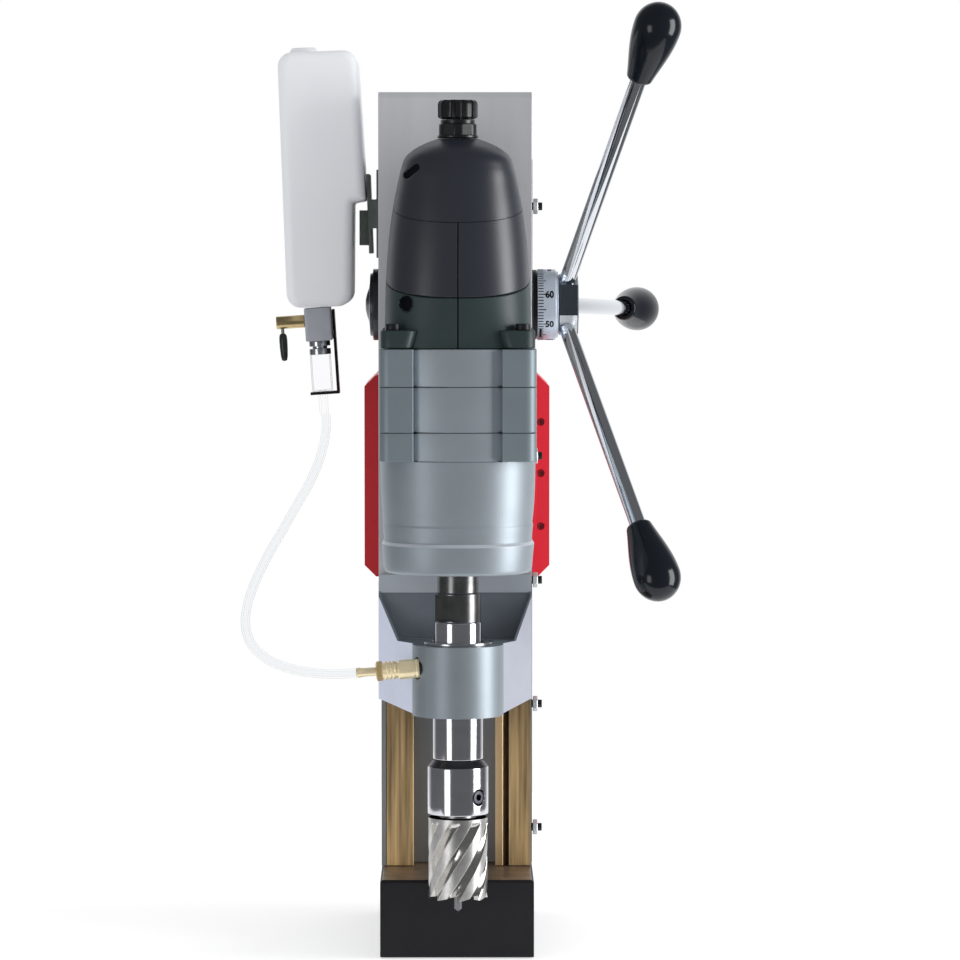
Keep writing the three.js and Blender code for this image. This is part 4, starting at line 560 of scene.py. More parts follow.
radius_rows, turn_columns = np.meshgrid(holder_rows[:, 0], holder_turn, indexing="ij")
height_rows = np.repeat(holder_rows[:, 1:], len(holder_turn), axis=1)
arc = holder_radius * np.where(bend > np.pi, bend - 2 * np.pi, bend)
away = np.hypot(arc, height_rows - screw_height)
sunk = np.clip((hole_radius + 0.15 - away) / 0.3, 0, 1) * (radius_rows > holder_radius - 0.5)
radius_rows = radius_rows - hole_depth * sunk
holder_skin = placed(polar(radius_rows, turn_columns, height_rows), upright)
holder = put_piece("tool_sleeve", closed_skin(holder_skin), "spindle",
                   [polished, surface("chamfer steel, painted shade", (96, 96, 102), 0.22, 1.0)], ["tool_holder"])
# The upper chamfer takes a darker steel as painted shade.
paint_faces(holder, lambda centre, normal: centre.z > chamfer_low)
screw_axis = along((math.sin(screw_turn), -math.cos(screw_turn), 0), (spindle_x, spindle_y, screw_height))
screw_line = rounded_profile([(0, 9.8), (4.1, 9.8), (4.1, 15.3), (3.5, 16.1), (2.2, 16.1)], 0.2)
screw_sides, socket_turn = 48, 0.3
socket = turned([(2.0, 16.1), (1.95, 13.3), (0, 13.2)], screw_sides)
round_turn = np.linspace(0, 2 * np.pi, screw_sides, endpoint=False)
to_hexagon = math.cos(np.pi / 6) / np.cos((round_turn + socket_turn) % (np.pi / 3) - np.pi / 6)
socket[:, :, :2] *= to_hexagon[None, :, None]
set_screw_skin = placed(np.concatenate([turned(screw_line, screw_sides), socket]), screw_axis)
put_piece("set_screw", closed_skin(set_screw_skin), "spindle",
          [surface("set screw steel", (60, 60, 66), 0.22, 1.0)], ["clamp_screw"], 25)

# The annular cutter is ground high-speed steel: eight helical flutes between broad lands, a plain
# shank above, cutting teeth below and a hollow core. Its lands are matt and the flutes are bright.
flute_count, flute_depth, cutter_twist, tooth_height = 8, 2.6, math.radians(100), 2.6
cutter_low, cutter_high, core_high, shank_high = 36.2, 80.0, 70.2, 108.6
cutter_radius, core_radius, land_share, flute_top, land_edge = 15.95, 12.2, 0.52, 79, 15.8
core_rows, flute_columns = 8, 44
columns = flute_count * flute_columns
cutter_turn = np.linspace(0, 2 * np.pi, columns, endpoint=False)
rise = np.concatenate([np.linspace(0, 0.9, 46), np.linspace(0.91, 1.0, 12)])
share, base_turn = np.meshgrid(rise, cutter_turn, indexing="ij")
phase = (base_turn * flute_count / (2 * np.pi)) % 1.0
valley = np.clip((phase - land_share) / (1 - land_share), 0, 1)
valley = np.where(phase > land_share, np.minimum(1, valley * 7) * (1 - valley) ** 0.55, 0)
run_out = np.clip((0.955 - share) / 0.05, 0, 1) ** 0.6
radius = cutter_radius - flute_depth * valley * run_out
tooth = tooth_height * np.clip((phase - 0.12) / 0.85, 0, 1) * np.clip(1 - share * 6, 0, 1)
height = cutter_low + share * (cutter_high - cutter_low) + tooth
angle = base_turn + share * cutter_twist
outer = polar(radius, angle, height)
core_height = np.concatenate([[cutter_low], np.linspace(cutter_low + 4, core_high, core_rows)])
inside = turned(np.column_stack([np.full(core_rows + 1, core_radius), core_height]), columns)
inside[0, :, 2] += tooth[0]
neck_line = [(15.4, cutter_high), (9.5, cutter_high), (9.5, shank_high), (0, shank_high)]
neck = turned(rounded_profile(neck_line, 0.3), columns)
core_top = turned([(2.6, core_high), (2.6, 108.0), (0, 108.0)], columns)
cutter_skin = placed(np.concatenate([core_top[::-1], inside[::-1], outer, neck]), upright)
cutter = put_piece("ring_cutter", closed_skin(cutter_skin), "spindle", [
    surface("ground cutter steel", (188, 187, 186), 0.3, 1.0, 0.12, 260, bump=0.25, bump_scale=1800),
    surface("bright flute steel", (205, 203, 200), 0.16, 1.0, 0.1, 160)], ["annular_cutter"], 40)
paint_faces(cutter, lambda centre, normal: cutter_low + 0.4 < centre.z < flute_top
            and math.hypot(centre.x - spindle_x, centre.y - spindle_y) < land_edge)
put_turned("ejector_pin", [(0, 27.8), (2.3, 30.1), (2.3, 97.8), (0, 97.8)], upright, "pilot",
           [surface("pin steel", (120, 120, 124), 0.22, 0.7, 0.05, 60)], ["pilot_pin"], 0.3, 32)

# The gearbox is three levels of aluminium casting, soft squares in plan with a pillar at each corner
# for the long screws, painted silver. The lowest level narrows downwards and has two shallow ledges,
# whose upward faces carry a paler silver as a painted highlight.
def squircle_reach(turn, half, exponent):
    """Distance to the curve |x|^e + |y|^e = half^e in each direction."""
    return half / (np.abs(np.cos(turn)) ** exponent + np.abs(np.sin(turn)) ** exponent) ** (1 / exponent)


def pillar_reach(turn, inner_x, outer, depth, round_radius):
    """Distance to the farthest side of the corner block |x| in inner_x..outer, |y| in outer-depth..outer,
    whose edges are rounded by a radius."""
    middle = np.array([(inner_x + outer) / 2, outer - depth / 2])
    core = np.array([(outer - inner_x) / 2, depth / 2]) - round_radius
    t = np.arange(0.5 * outer, 1.45 * outer, 0.02)
    x = np.abs(np.cos(turn))[:, None] * t - middle[0]
    y = np.abs(np.sin(turn))[:, None] * t - middle[1]
    outside = np.hypot(np.maximum(np.abs(x) - core[0], 0), np.maximum(np.abs(y) - core[1], 0)) - round_radius
    return np.where(outside <= 0, t, 0).max(axis=1)


cast_half, body_power = 41.7, 2.35
pillar_inner, pillar_depth, pillar_foot, pillar_front, cast_corner = 23.5, 20, 23.4, 0.6, 6


def corner_reach(turn):
    """The corner pillars' reach: sharp-edged blocks, cut by a square with corners rounded by 6 mm."""
    return np.minimum(pillar_reach(turn, pillar_inner, cast_half, pillar_depth, pillar_front),
                      pillar_reach(turn, -cast_half, cast_half, 2 * cast_half, cast_corner))


def pillar_edges(turn):
    """Pairs of directions tightly round each place where the pillars' line passes the squircle's."""
    change = np.nonzero(np.diff(corner_reach(turn) > squircle_reach(turn, cast_half, body_power)))[0]
    middle = (turn[change] + turn[change + 1]) / 2
    return np.concatenate([middle - 2e-4, middle + 2e-4])


off_axis = 1e-4
dense_turn, plan_turn = (np.linspace(0, 2 * np.pi, count, endpoint=False) + off_axis
                         for count in (14400, 1440))
plan_turn = np.unique(np.round(np.concatenate([plan_turn, pillar_edges(dense_turn)]), 6))
pillar_line = corner_reach(plan_turn)


def cast_level(rows):
    """A grid of rings at heights z: the squircle of a half width, or the pillars where they stand out, less
    an inset that rounds the level's edges. Each row is (z, half width, pillars or not, inset). The last
    point before a pillar on the front or back moves along the squircle to the foot of the pillar's wall."""
    rings = []
    for z, half, pillars, inset in rows:
        body = squircle_reach(plan_turn, half, body_power)
        reach = (np.maximum(body, pillar_line) if pillars else body) - inset
        x, y = reach * np.cos(plan_turn), reach * np.sin(plan_turn)
        if pillars:
            stands = pillar_line > body
            foot = ~stands & (np.roll(stands, 1) | np.roll(stands, -1)) & (np.abs(y) > 0.6 * half)
            foot_y = (half ** body_power - pillar_foot ** body_power) ** (1 / body_power) - inset
            x[foot], y[foot] = np.sign(x[foot]) * pillar_foot, np.sign(y[foot]) * foot_y
        rings.append(np.stack([x, y, np.full(len(reach), z)], axis=1))
    return placed(np.stack(rings), upright)


def edge_rows(z, up, half, pillars, radius=0.5):
    """Rows that round an edge at height z with a quarter circle: up is 1 for an upper edge, else -1."""
    quarter = np.linspace(0, np.pi / 2, 5)
    rows = [(z - up * radius * (1 - math.sin(q)), half, pillars, radius * (1 - math.cos(q))) for q in quarter]
    return rows if up > 0 else rows[::-1]


cast_finishes = [
    surface("gearbox silver", (161, 170, 177), 0.48, 0.6, 0.035, 50, bump=0.06, bump_scale=1200),
    surface("pillar silver", (128, 140, 146), 0.45, 0.4, 0.04, 50, bump=0.06, bump_scale=1200),
    surface("ledge, painted highlight", (180, 186, 193), 0.4, 0.2, 0.05, 50)]
cast_round, plate_inset, wall_high = 0.45, 9, 273.9
pillar_side, pillar_face, pillar_low, ledge_low, ledge_high = 23.6, 30, 273.8, 226, 233


def cast_material(centre, normal):
    """The pillars' faces are 1, the lowest level's upward ledge faces 2, which carry a painted highlight, and
    the rest 0.
    """
    across, forward = abs(centre.x - spindle_x), abs(centre.y - spindle_y)
    if across > pillar_side and forward > pillar_face and centre.z > pillar_low:
        return 1
    return 2 if normal.z > 0.25 and ledge_low < centre.z < ledge_high else 0


wall_levels = [(216, 39.9), (222, 40.4), (227.6, 40.95), (228.2, 40.95), (228.8, 40.75), (229.3, 40.35),
               (229.9, 39.95), (230.6, 39.8), (231.6, 39.8), (234, 40.0), (238.2, 40.4), (238.7, 40.36),
               (239.3, 40.1), (240, 40.1), (245, 40.6), (250, 41.0), (258, 41.4), (266, 41.6), (273.6, 41.68)]
lower_rows = [(213, 39.6, False, 32.0)] + edge_rows(213, -1, 39.7, False, 2.2)
lower_rows += [(z, half, False, 0) for z, half in wall_levels]
lower_rows += edge_rows(wall_high, -1, cast_half, True, 0.6)
for name, low, high, rows, node in [("gearbox_casting", None, 289, lower_rows, "gearbox_housing"),
                                    ("gear_plate_casting", 289.3, 313.2, None, "gear_plate"),
                                    ("motor_flange_casting", 313.5, 333.3, None, "motor_flange")]:
    rows = rows or [(low, cast_half, True, plate_inset)] + edge_rows(low, -1, cast_half, True, cast_round)
    rows = rows + edge_rows(high, 1, cast_half, True, cast_round) + [(high, cast_half, True, plate_inset)]
    level = put_piece(name, closed_skin(cast_level(rows)), "carriage", cast_finishes, [node],
                      40)
    # Pillars take the pillar silver, and the ledges' upward faces a painted highlight.
    paint_faces(level, cast_material)

# The motor housing is moulded black plastic, closing in upwards to a domed cap. The seam under the
# cap, a second one lower down and a third up the middle are fine grooves. A slot and a screw recess lie
# on its left front, and an ear at each corner of its foot takes a socket screw. The grooves, the slot and
# the recess are painted near black as shade.
motor_levels = [(333.6, 39.6, 3), (345, 39.2, 2.7), (358, 38.9, 2.5), (375, 38.2, 2.4), (392, 36.9, 2.35),
                (408, 34.8, 2.35), (420, 32.5, 2.4), (429, 30.4, 2.5), (435, 28.2, 2.45), (439.5, 23.2, 2.3),
                (442.8, 16.8, 2.1), (445, 10.8, 2)]
motor_low, motor_high = motor_levels[0][0], motor_levels[-1][0]
power_scale = 8
motor_curve, _ = smooth_path([(z, half, power * power_scale) for z, half, power in motor_levels], 900)
seam_tilt, cap_seam, low_seam, seam_half = math.tan(math.radians(14)), 409.2, 370.2, 0.42
seam_depth, seam_width, middle_depth, middle_width = 0.55, 0.42, 0.35, 0.35
slot_x, slot_z, slot_run, slot_rise, slot_half = -24.6, 427.4, 0.78, 0.62, 3.0
slot_reach, slot_depth, recess_depth = 2.0, 1.8, 3.0
recess_x, recess_z, recess_wide, recess_high = -27.4, 357.3, 3.7, 4.3
motor_turn = np.concatenate([np.arange(-0.03, 0.0301, 0.006), np.arange(0.045, 2 * np.pi - 0.04, 0.0155)])
motor_turn = motor_turn[None, :] - np.pi / 2


def from_slot(x, z):
    """Distance from the slot's middle line, which rises to the right on the motor's left front."""
    lean = (x - slot_x) * slot_rise - (z - slot_z) * slot_run
    across = (x - slot_x) * slot_run + (z - slot_z) * slot_rise
    return np.hypot(np.maximum(np.abs(across) - slot_half, 0), lean)


def motor_skin(low, high, tilt_low, tilt_high, count, seams, crown=0.0):
    """The motor's closed surface between two heights, as rows of rings. A row at height w lies at
    z = w + tilt y, with the tilt passing smoothly from its low to its high value. Fine grooves follow
    the seams, and the middle seam lies at x = 0 on the front and back. The crown rises at the centre."""
    fine = [np.linspace(seam - 1.1, seam + 1.1, 12) for seam in seams]
    w = np.unique(np.concatenate([np.linspace(low, high, count), *fine]))[:, None]
    share = np.clip((w - low) / (high - low) * (3 if tilt_low == 0 else 1), 0, 1)
    tilt = tilt_low + (tilt_high - tilt_low) * share * share * (3 - 2 * share)
    z = w + 0 * motor_turn
    for _ in range(4):
        half = np.interp(z, motor_curve[:, 0], motor_curve[:, 1])
        power = np.interp(z, motor_curve[:, 0], motor_curve[:, 2]) / power_scale
        reach = squircle_reach(motor_turn, half, power)
        z = np.clip(w + tilt * reach * np.sin(motor_turn), motor_low, motor_high)
    x, behind = reach * np.cos(motor_turn), 9 * (np.sin(motor_turn) > 0)
    groove = sum(seam_depth * np.exp(-((w - seam) / seam_width) ** 2) for seam in seams) + 0 * motor_turn
    groove = np.maximum(groove, middle_depth * np.exp(-(x / middle_width) ** 2) * (w < cap_seam))
    recess = np.hypot((x - recess_x) / recess_wide, (z - recess_z) / recess_high) + behind
    groove = np.maximum(groove, recess_depth * np.clip((1.04 - recess) / 0.12, 0, 1))
    slot = from_slot(x, z) / slot_reach + behind
    reach = reach - np.maximum(groove, slot_depth * np.clip((1.06 - slot) / 0.2, 0, 1))
    rings = polar(reach, motor_turn, z)
    low_end, high_end = (np.tile([0, 0, end], (1, rings.shape[1], 1)) for end in (low, high + crown))
    return closed_skin(placed(np.concatenate([low_end, rings, high_end]), upright))


def shell_material(centre, normal):
    """Black above the lower seam, green black below it, and painted shade, near black and matt, in the seams
    and the screw recess.
    """
    x, y, z = centre.x - spindle_x, centre.y - spindle_y, centre.z
    deep = math.hypot((x - recess_x) / 3.5, (z - recess_z) / 4.1) < 1 and y < 0
    above_seam = z - y * seam_tilt - low_seam
    return 2 if deep or abs(x) < seam_half or abs(above_seam) < 0.32 else 1 if above_seam < 0 else 0


motor_black = surface("motor black", (33, 38, 48), 0.37, 0.0, 0.05, 40, bump=0.1, bump_scale=1500,
                      specular=0.78)
motor_foot = surface("motor black green", (40, 55, 56), 0.44, 0.0, 0.05, 40, bump=0.1, bump_scale=1500)
# Near-black matt paint in the grooves, the slot and the recess, as painted shade.
groove_shade_black = surface("painted groove shade", (14, 16, 18), 0.8, 0.0, 0.1, 60, specular=0.1)
seam_gap = 0.15
motor_shell = put_piece("motor_shell", motor_skin(333.8, cap_seam - seam_gap, 0, seam_tilt, 100, [low_seam]),
                        "carriage", [motor_black, motor_foot, groove_shade_black],
                        ["motor_housing"], 50)
paint_faces(motor_shell, shell_material)
motor_dome = put_piece("motor_dome", motor_skin(cap_seam + seam_gap, 444.9, seam_tilt, 0, 90, [], 0.1),
                       "carriage", [motor_black, groove_shade_black], ["motor_cap"], 50)
# The slot's faces take the painted shade.
paint_faces(motor_dome, lambda centre, normal:
            from_slot(centre.x - spindle_x, centre.z) < 1.9 and centre.y < spindle_y)

ear_sides, gland_sides = 64, 288
ear_turn = np.linspace(0, 2 * np.pi, ear_sides, endpoint=False)
ear_x, ear_y, ear_round, ear_foot = 3.6, 2.4, 6, 2.2
ear_middle_x, ear_middle_y, ear_screw_x, ear_screw_y = 31.35, 32.6, 34.4, 34.2
box_x = np.sign(np.cos(ear_turn)) * ear_x + ear_round * np.cos(ear_turn)
box_y = np.sign(np.sin(ear_turn)) * ear_y + ear_round * np.sin(ear_turn)
for number, (side_x, side_y) in enumerate([(-1, -1), (1, -1), (-1, 1), (1, 1)], 1):
    ear_rows = []
    for z, inset, slant in [(333.8, 0.6, 1), (334.3, 0, 1), (342.5, 0, 0), (343.1, 0.25, 0), (343.3, 0.8, 0)]:
        ring_x = ear_middle_x + box_x * (1 - inset / (ear_x + ear_round)) + ear_foot * slant * (box_x < 0)
        ring_y = box_y * (1 - inset / (ear_y + ear_round)) - ear_middle_y
        ear_rows.append(np.stack([side_x * ring_x, -side_y * ring_y, np.full(ear_sides, z)], axis=1))
    put_piece("motor_ear_%d" % number, closed_skin(placed(np.stack(ear_rows), upright)), "carriage",
              [motor_foot])
    screw_line = rounded_profile([(0, 343.3), (3.9, 343.3), (3.9, 346.8), (2.4, 346.8)], 0.4)
    put_turned("motor_screw_%d" % number, [*screw_line, (2.3, 346.8), (2.2, 344.6), (0, 344.5)],
               upright, "carriage", [black_oxide], sides=48,
               shift=(side_x * ear_screw_x, side_y * ear_screw_y, 0))

# The cable gland on top is black nylon: a hexagonal body and a nut with twelve grip ribs, closed by a
# shallow dish because no cable comes out of it.
nylon = surface("black nylon", (17, 18, 21), 0.3, bump=0.04, specular=0.6)
gland_turn = np.linspace(0, 2 * np.pi, gland_sides, endpoint=False)
rib_count, rib_height, hexagon_half = 12, 1.05, 10.05
between_ribs = 0.5 - np.clip(np.cos(gland_turn * rib_count) * 2.2 + 0.35, -1, 1) * 0.5
nut_rows = [(radius - ribbed * rib_height * between_ribs, z) for radius, z, ribbed in [
    (0, 455.4, 0), (8.6, 455.4, 0), (9.0, 455.6, 0), (9.9, 456.1, 1), (10.65, 456.6, 1), (10.7, 463.6, 1),
    (10.3, 464.6, 1), (9.6, 465.4, 0.8), (8.9, 465.7, 0), (7.2, 465.7, 0), (6.9, 465.5, 0), (5.6, 463, 0),
    (0, 462.8, 0)]]
hexagon_reach = hexagon_half / np.cos((gland_turn + np.pi / 6) % (np.pi / 3) - np.pi / 6)
socket_rows = [(np.minimum(limit, hexagon_reach) if hexagonal else limit, z) for limit, z, hexagonal in [
    (0, 445.3, 0), (10.6, 445.3, 0), (10.9, 445.7, 0), (10.9, 446.6, 0), (10.6, 446.9, 0), (10.7, 447.1, 1),
    (10.7, 452.2, 1), (10.4, 452.7, 1), (9.5, 453.0, 0), (9.2, 453.2, 0), (9.2, 455.0, 0), (0, 455.0, 0)]]
for name, rows, node, sharp_angle in [("gland_cap", nut_rows, "gland_nut", 40),
                                      ("gland_socket", socket_rows, "gland_body", 30)]:
    rings = placed(np.stack([polar(reach, gland_turn, z) for reach, z in rows]), upright)
    put_piece(name, closed_skin(rings), "carriage", [nylon], [node], sharp_angle)

# The feed shaft runs through the column in bushes. On its right stand an aluminium scale ring with
# engraved black lines and numbers, and a dark hexagonal hub that holds the three arms. The hub's
# downward facets are painted bright as a reflection.
feed_axis = np.array([0.0, 1.5, 354.8])
across_x = along((1, 0, 0), feed_axis)
flange_line = [(8.3, 36), (12, 36), (12, 42.3), (19.5, 42.3), (19.5, 44.7), (8.3, 44.7), (8.3, 36)]
rim_start = 43.4
flange = put_turned("right_bush", flange_line, across_x, "stand",
                    [surface("flange steel", (128, 132, 138), 0.35, 0.8, 0.05),
                     surface("black flange rim", (26, 27, 30), 0.4, 0.6)], ["bush_right"], 0.25, 96, True)
paint_faces(flange, lambda centre, normal: centre.x > rim_start)
from_node("bush_left", "left_bush", "stand", [guide_bronze])
ring_radius, ring_inner, ring_start, ring_end = 19.8, 6.3, 45, 56.6
ring_line = [(ring_inner, ring_start), (ring_radius, ring_start), (ring_radius, 55.2), (18.6, 55.3),
             (18.6, ring_end), (ring_inner, ring_end), (ring_inner, ring_start)]
put_turned("scale_ring_body", ring_line, across_x, "feed",
           [surface("ring aluminium", (207, 217, 231), 0.34, 0.4, 0.04, 60, bump=0.03)], ["scale_ring"],
           0.2, 144, True)
ink = surface("ring ink", (8, 8, 9), 0.7, specular=0.2)
line_half, line_start, short_end, long_end = 0.27, 45.35, 48.3, 49.7
number_x, number_size, number_squeeze, number_bold = 51.7, 5.4, 0.86, 0.2
mark_lift, pointer_lift, number_lift, mark_depth = 0.05, 0.07, 0.1, 0.1


def ring_height(value):
    """Height along the ring's arc, above its front, of a place on the scale of 72 divisions."""
    return math.radians(17.6 + 5 * (value - 60)) * ring_radius


def on_ring(x, height, lift):
    """Points of the ring's surface at x mm along its axis and height mm of arc above the front, lifted
    by lift: y = -(R + lift) cos(height / R), z = (R + lift) sin(height / R)."""
    ring = polar(ring_radius + lift, height / ring_radius, x)
    return ring[..., [2, 0, 1]] * [1, -1, 1] + feed_axis


def ring_marks(name, patches, lift):
    """Flat rectangular marks on the ring, each (x0, x1, low, high) in mm with heights along the arc."""
    x0, x1, low, high = np.array(patches).T[:, :, None]
    height = low + (high - low) * np.linspace(0, 1, 4)
    top, under = (np.stack([on_ring(x0, height, level), on_ring(x1, height, level)], axis=2)
                  for level in (lift, -mark_depth))
    corners = np.concatenate([top, under[:, ::-1]], axis=1).reshape(-1, 3)
    faces = []
    for index in np.arange(len(corners)).reshape(-1, 8, 2):
        following = np.roll(index, -1, axis=0)
        faces += np.column_stack([index, following[:, ::-1]]).tolist()
        faces += [index[::-1, 0].tolist(), index[:, 1].tolist()]
    put_piece(name, (corners, faces), "feed", [ink])


ticks = [(line_start, short_end if value % 5 else long_end, ring_height(value) - line_half,
          ring_height(value) + line_half) for value in range(72)]
ring_marks("scale_lines", ticks, mark_lift)
ring_marks("scale_pointer", [(46.1, 47.3, -22.6, -15.0)], pointer_lift)
for value in range(0, 70, 10):
    letters = bpy.data.curves.new("number", "FONT")
    letters.body = str(value)
    letters.size, letters.offset, letters.resolution_u = number_size, number_bold, 3
    letters.align_x, letters.align_y = "LEFT", "CENTER"
    shown = bpy.data.objects.new("number", letters)
    flat = bpy.data.meshes.new_from_object(shown)
    points = np.array([vertex.co for vertex in flat.vertices])
    points = (points - (points.min(axis=0) + points.max(axis=0)) / 2) * [number_squeeze, 1, 1]
    corners = on_ring(number_x + points[:, 0], points[:, 1] + ring_height(value), number_lift)
    put_piece("scale_number_%d" % value, (corners, [list(face.vertices) for face in flat.polygons]), "feed",
              [ink])
    bpy.data.objects.remove(shown)
    bpy.data.curves.remove(letters)

hub_start, hub_end, hub_flat, hub_chamfer = 56.9, 67.9, 15, 0.955
hub_turn = np.arange(6) * np.pi / 3 + math.radians(10.3 + 30)
hub_ring = polar(hub_flat, hub_turn, 0)[:, [2, 0, 1]] * [1, -1, 1] / math.cos(np.pi / 6)
hub_rows = [hub_ring * size + [x, 0, 0] for x, size in [
    (hub_start, 0), (hub_start, hub_chamfer), (hub_start + 0.5, 1), (hub_end - 0.6, 1),
    (hub_end, hub_chamfer), (hub_end, 0)]]
hub = put_piece("feed_hub", closed_skin(np.stack(hub_rows)[:, ::-1] + feed_axis), "feed",
                [surface("blued steel", (116, 124, 136), 0.28, 1.0, 0.15, 40),
                 surface("hub flat, painted reflection", (214, 218, 222), 0.35, 0.3, 0.06, 60)], ["handle_hub"], 20)
# Downward facets of the hub take a bright grey as a painted reflection.
paint_faces(hub, lambda centre, normal: normal.z < -0.3 and abs(normal.x) < 0.1)

chrome = surface("chrome", (218, 221, 226), 0.05, 1.0)
bakelite = surface("black knob", (18, 24, 31), 0.16, specular=0.4)
splay, first_arm_turn, arm_pitch = math.radians(16.7), math.radians(-1.7), math.radians(120)
knob_start, knob_neck, knob_radius, knob_waist, knob_end = 146.5, 7, 13, 179.05, 193
rod_line = [(0, 11.4), (2.2, 11.4), (2.2, 15.7), (4.5, 15.7), (4.5, 158.2), (0, 158.2)]
side = np.linspace(0.03, 1, 30)
nose = np.linspace(0, 1, 24)[1:]
knob_line = [(0, 158.5), (4.8, 158.5), (4.8, knob_start), (6.0, knob_start), (6.5, knob_start + 0.1),
             (6.8, knob_start + 0.4),
             *zip(knob_neck + (knob_radius - knob_neck) * np.sin(side ** 1.15 * np.pi / 2),
                  knob_start + side * (knob_waist - knob_start)),
             *zip(knob_radius * np.sqrt(np.clip(1 - nose ** 2, 0, 1)),
                  knob_waist + nose * (knob_end - knob_waist))]
for arm in range(3):
    turn = first_arm_turn + arm_pitch * arm
    arm_axis = along((math.sin(splay), math.cos(splay) * math.cos(turn), math.cos(splay) * math.sin(turn)),
                     feed_axis + [hub_start, 0, 0])
    put_turned("arm_rod_%d" % (arm + 1), rod_line, arm_axis, "feed", [chrome],
               ["handle_rod_%d" % (arm + 1)], 0.5)
    put_turned("arm_knob_%d" % (arm + 1), knob_line, arm_axis, "feed", [bakelite],
               ["handle_knob_%d" % (arm + 1)], sides=96)

# A black domed cover closes the shaft's left end on the column.
cover_line = [(0, -51.2), (3.0, -51.1), (6.4, -50.3), (9.4, -49.2), (12.4, -48.8), (17.4, -48.5),
              (17.8, -46.9), (20, -46.9), (20, -42.3), (9, -42.3), (9, -46.6), (0, -46.6)]
put_turned("shaft_end_cover", cover_line, across_x, "stand",
           [surface("cover black", (52, 55, 62), 0.3, 0.3, specular=0.6)], ["shaft_cover"], 0.5, 96)

# The coolant tank is blow-moulded milky plastic, hung on a zinc-plated hook on the column's left and
# leaning a little. A notch in its right side takes the hook, and a stopper closes the top.
def lean_frame(middle_x, middle_z, lean_degrees):
    """The 3 x 4 matrix that turns points about the y axis by a lean and moves them to a middle."""
    lean = math.radians(lean_degrees)
    return np.array([[math.cos(lean), 0, math.sin(lean), middle_x], [0, 1, 0, 0],
                     [-math.sin(lean), 0, math.cos(lean), middle_z]])


def rounded_line(corners, radii, steps=8):
    """A closed outline whose corners are replaced by arcs of the given radii."""
    corners = np.asarray(corners, float)
    result = []
    for k, radius in enumerate(radii):
        corner = corners[k]
        back, on = corners[k - 1] - corner, corners[(k + 1) % len(corners)] - corner
        back, on = back / np.linalg.norm(back), on / np.linalg.norm(on)
        half_angle = math.acos(np.clip(back @ on, -1, 1)) / 2
        reach = radius / math.tan(half_angle)
        centre = corner + (back + on) / np.linalg.norm(back + on) * radius / math.sin(half_angle)
        start, end = corner + back * reach - centre, corner + on * reach - centre
        for t in np.linspace(0, 1, steps):
            ray = start * (1 - t) + end * t
            result.append(centre + ray / np.linalg.norm(ray) * radius)
    return np.array(result)


def drawn_in(outline, inset):
    """A closed outline moved inwards by an inset along its own normals."""
    on = np.roll(outline, -1, axis=0) - np.roll(outline, 1, axis=0)
    on /= np.linalg.norm(on, axis=1)[:, None]
    return outline + inset * np.stack([-on[:, 1], on[:, 0]], axis=1)


def corners_drawn_in(corners, inset):
    """The corners of a closed outline whose edges all move inwards by an inset, mitred."""
    corners = np.asarray(corners, float)
    edge = np.roll(corners, -1, axis=0) - corners
    edge /= np.linalg.norm(edge, axis=1)[:, None]
    inward = np.stack([-edge[:, 1], edge[:, 0]], axis=1)
    before = np.roll(inward, 1, axis=0)
    return corners + inset * (before + inward) / (1 + (before * inward).sum(axis=1))[:, None]


tank_frame = lean_frame(-74.4, 424.4, -2.1)
tank_corners = [(22, 70.3), (-21.9, 70.3), (-21.9, -70.3), (13.8, -70.3), (16.4, -13.4), (23.4, -12.3)]
tank_half, tank_round, corner_radius, notch_radius = 42, 5, 8, 1.5
bend = np.linspace(0, np.pi / 2, 9)
tank_rows = []
for side, q in [(-1, q) for q in bend] + [(1, q) for q in bend[::-1]]:
    inset = tank_round * (1 - math.sin(q))
    radii = [corner_radius - inset] * 4 + [notch_radius + inset, max(notch_radius - inset, 0.3)]
    line = rounded_line(corners_drawn_in(tank_corners, inset), radii, 12)
    depth = np.full(len(line), side * (tank_half - tank_round * (1 - math.cos(q))))
    tank_rows.append(np.column_stack([line[:, 0], depth, line[:, 1]]))
ends = [[tank_rows[end] * [share, 1, share] for share in (0.02, 0.96)] for end in (0, -1)]
tank_rows = ends[0] + tank_rows + ends[1][::-1]
milky = surface("milky plastic", (242, 243, 247), 0.42, 0.0, 0.02, 12, bump=0.03, specular=0.4)
fill_inputs(milky.node_tree, milky.node_tree.nodes["Principled BSDF"],
            {"Subsurface Weight": 0.25, "Subsurface Radius": (0.02, 0.02, 0.022), "Subsurface Scale": 1.0})
put_piece("coolant_tank_body", closed_skin(placed(np.stack(tank_rows), tank_frame)), "stand",
          [milky], ["coolant_tank"], 50)
stopper_line = [(0, 65.6), (4.6, 65.6), (4.6, 70.6), (7.4, 70.6), (7.4, 72.9), (6.4, 74.0), (0, 74.0)]
put_turned("tank_stopper", stopper_line, tank_frame, "tank_cap", [milky], ["tank_cap"], 0.4,
           shift=(-8.6, 0, 0))
hook_zinc = surface("bracket zinc", (132, 140, 135), 0.36, 0.5, 0.12, 90)
from_node("tank_bracket", "tank_hook", "stand", [hook_zinc], 0.4)

